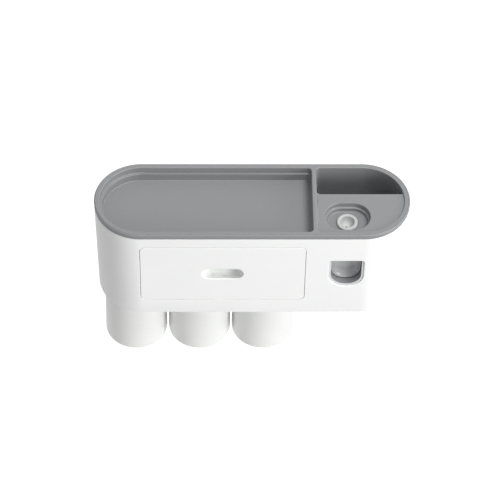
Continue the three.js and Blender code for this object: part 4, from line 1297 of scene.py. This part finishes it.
def pale_world(scene):
    """White to the eye, with less light on the object."""
    world = bpy.data.worlds.new("pale room")
    tree = empty_tree(world)
    strength = add(tree, "ShaderNodeMapRange", {
        "Value": seen_directly(tree), "To Min": ROOM_LIGHT, "To Max": 1,
    })
    room = add(tree, "ShaderNodeBackground", {
        "Color": (1, 1, 1, 1), "Strength": strength.outputs["Result"],
    })
    add(tree, "ShaderNodeOutputWorld", {"Surface": room.outputs[0]})
    scene.world = world


class HOLDER_OT_stage(bpy.types.Operator):
    """Pale floor, soft light and the camera"""

    bl_idname = "holder.stage"
    bl_label = "Stage"

    def execute(self, context):
        scene = context.scene
        scene.view_settings.view_transform = "Standard"
        floor = bmesh.new()
        bmesh.ops.create_grid(floor, x_segments=1, y_segments=1, size=FLOOR_REACH)
        bmesh.ops.translate(floor, verts=floor.verts, vec=(0, 0, FLOOR_LEVEL))
        piece = make("floor", floor)
        piece.data.materials.append(pale_floor())
        piece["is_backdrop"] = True
        pale_world(scene)
        for name, place, power, width in LAMPS:
            lamp = bpy.data.lights.new(name, "AREA")
            lamp.energy = power
            lamp.size = width
            light = bpy.data.objects.new(name, lamp)
            scene.collection.objects.link(light)
            light.location = place
            light.rotation_euler = (LIT - Vector(place)).to_track_quat("-Z", "Y").to_euler()
        camera = bpy.data.cameras.new("camera")
        camera.sensor_width = SENSOR
        camera.lens = LENS
        view = bpy.data.objects.new("camera", camera)
        scene.collection.objects.link(view)
        look = Matrix.Rotation(math.radians(90 - VIEW_DOWN), 4, "X")
        aside = Matrix.Rotation(-math.radians(VIEW_RIGHT), 4, "Y")
        view.matrix_world = Matrix.Translation(VIEW_FROM) @ look @ aside
        scene.camera = view
        return {"FINISHED"}


class HOLDER_PT_panel(bpy.types.Panel):
    """Steps and sizes of the toothbrush holder"""

    bl_idname = "HOLDER_PT_panel"
    bl_label = "Toothbrush holder"
    bl_space_type = "VIEW_3D"
    bl_region_type = "UI"
    bl_category = "Holder"

    def draw(self, context):
        for operator in OPERATORS:
            self.layout.operator(operator.bl_idname)
        for group, kind in GROUPS.items():
            box = self.layout.box()
            box.label(text=kind.__doc__)
            for key in kind.__annotations__:
                box.prop(getattr(context.scene, group), key)


GROUPS = {
    "holder_body": HolderBodySizes,
    "holder_tray": HolderTraySizes,
    "holder_drawer": HolderDrawerSizes,
    "holder_dispenser": HolderDispenserSizes,
    "holder_cups": HolderCupSizes,
    "holder_finishes": HolderFinishes,
}
OPERATORS = (
    HOLDER_OT_fittings,
    HOLDER_OT_body,
    HOLDER_OT_outlet,
    HOLDER_OT_tray,
    HOLDER_OT_drawer,
    HOLDER_OT_socket,
    HOLDER_OT_paddle,
    HOLDER_OT_pump,
    HOLDER_OT_cups,
    HOLDER_OT_stage,
)
CLASSES = (*GROUPS.values(), *OPERATORS, HOLDER_PT_panel)


def register():
    for cls in CLASSES:
        bpy.utils.register_class(cls)
    for name, kind in GROUPS.items():
        setattr(bpy.types.Scene, name, PointerProperty(type=kind))


def unregister():
    for name in GROUPS:
        delattr(bpy.types.Scene, name)
    for cls in reversed(CLASSES):
        bpy.utils.unregister_class(cls)


def main():
    register()
    bpy.ops.holder.fittings()
    bpy.ops.holder.body()
    bpy.ops.holder.outlet()
    bpy.ops.holder.tray()
    bpy.ops.holder.drawer()
    bpy.ops.holder.socket()
    bpy.ops.holder.paddle()
    bpy.ops.holder.pump()
    bpy.ops.holder.cups()
    bpy.ops.holder.stage()
    boxes = {"cad": CAD_BOX, "visual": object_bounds()}
    {key: [list(corner) for corner in box] for key, box in boxes.items()}


if __name__ == "__main__":
    main()
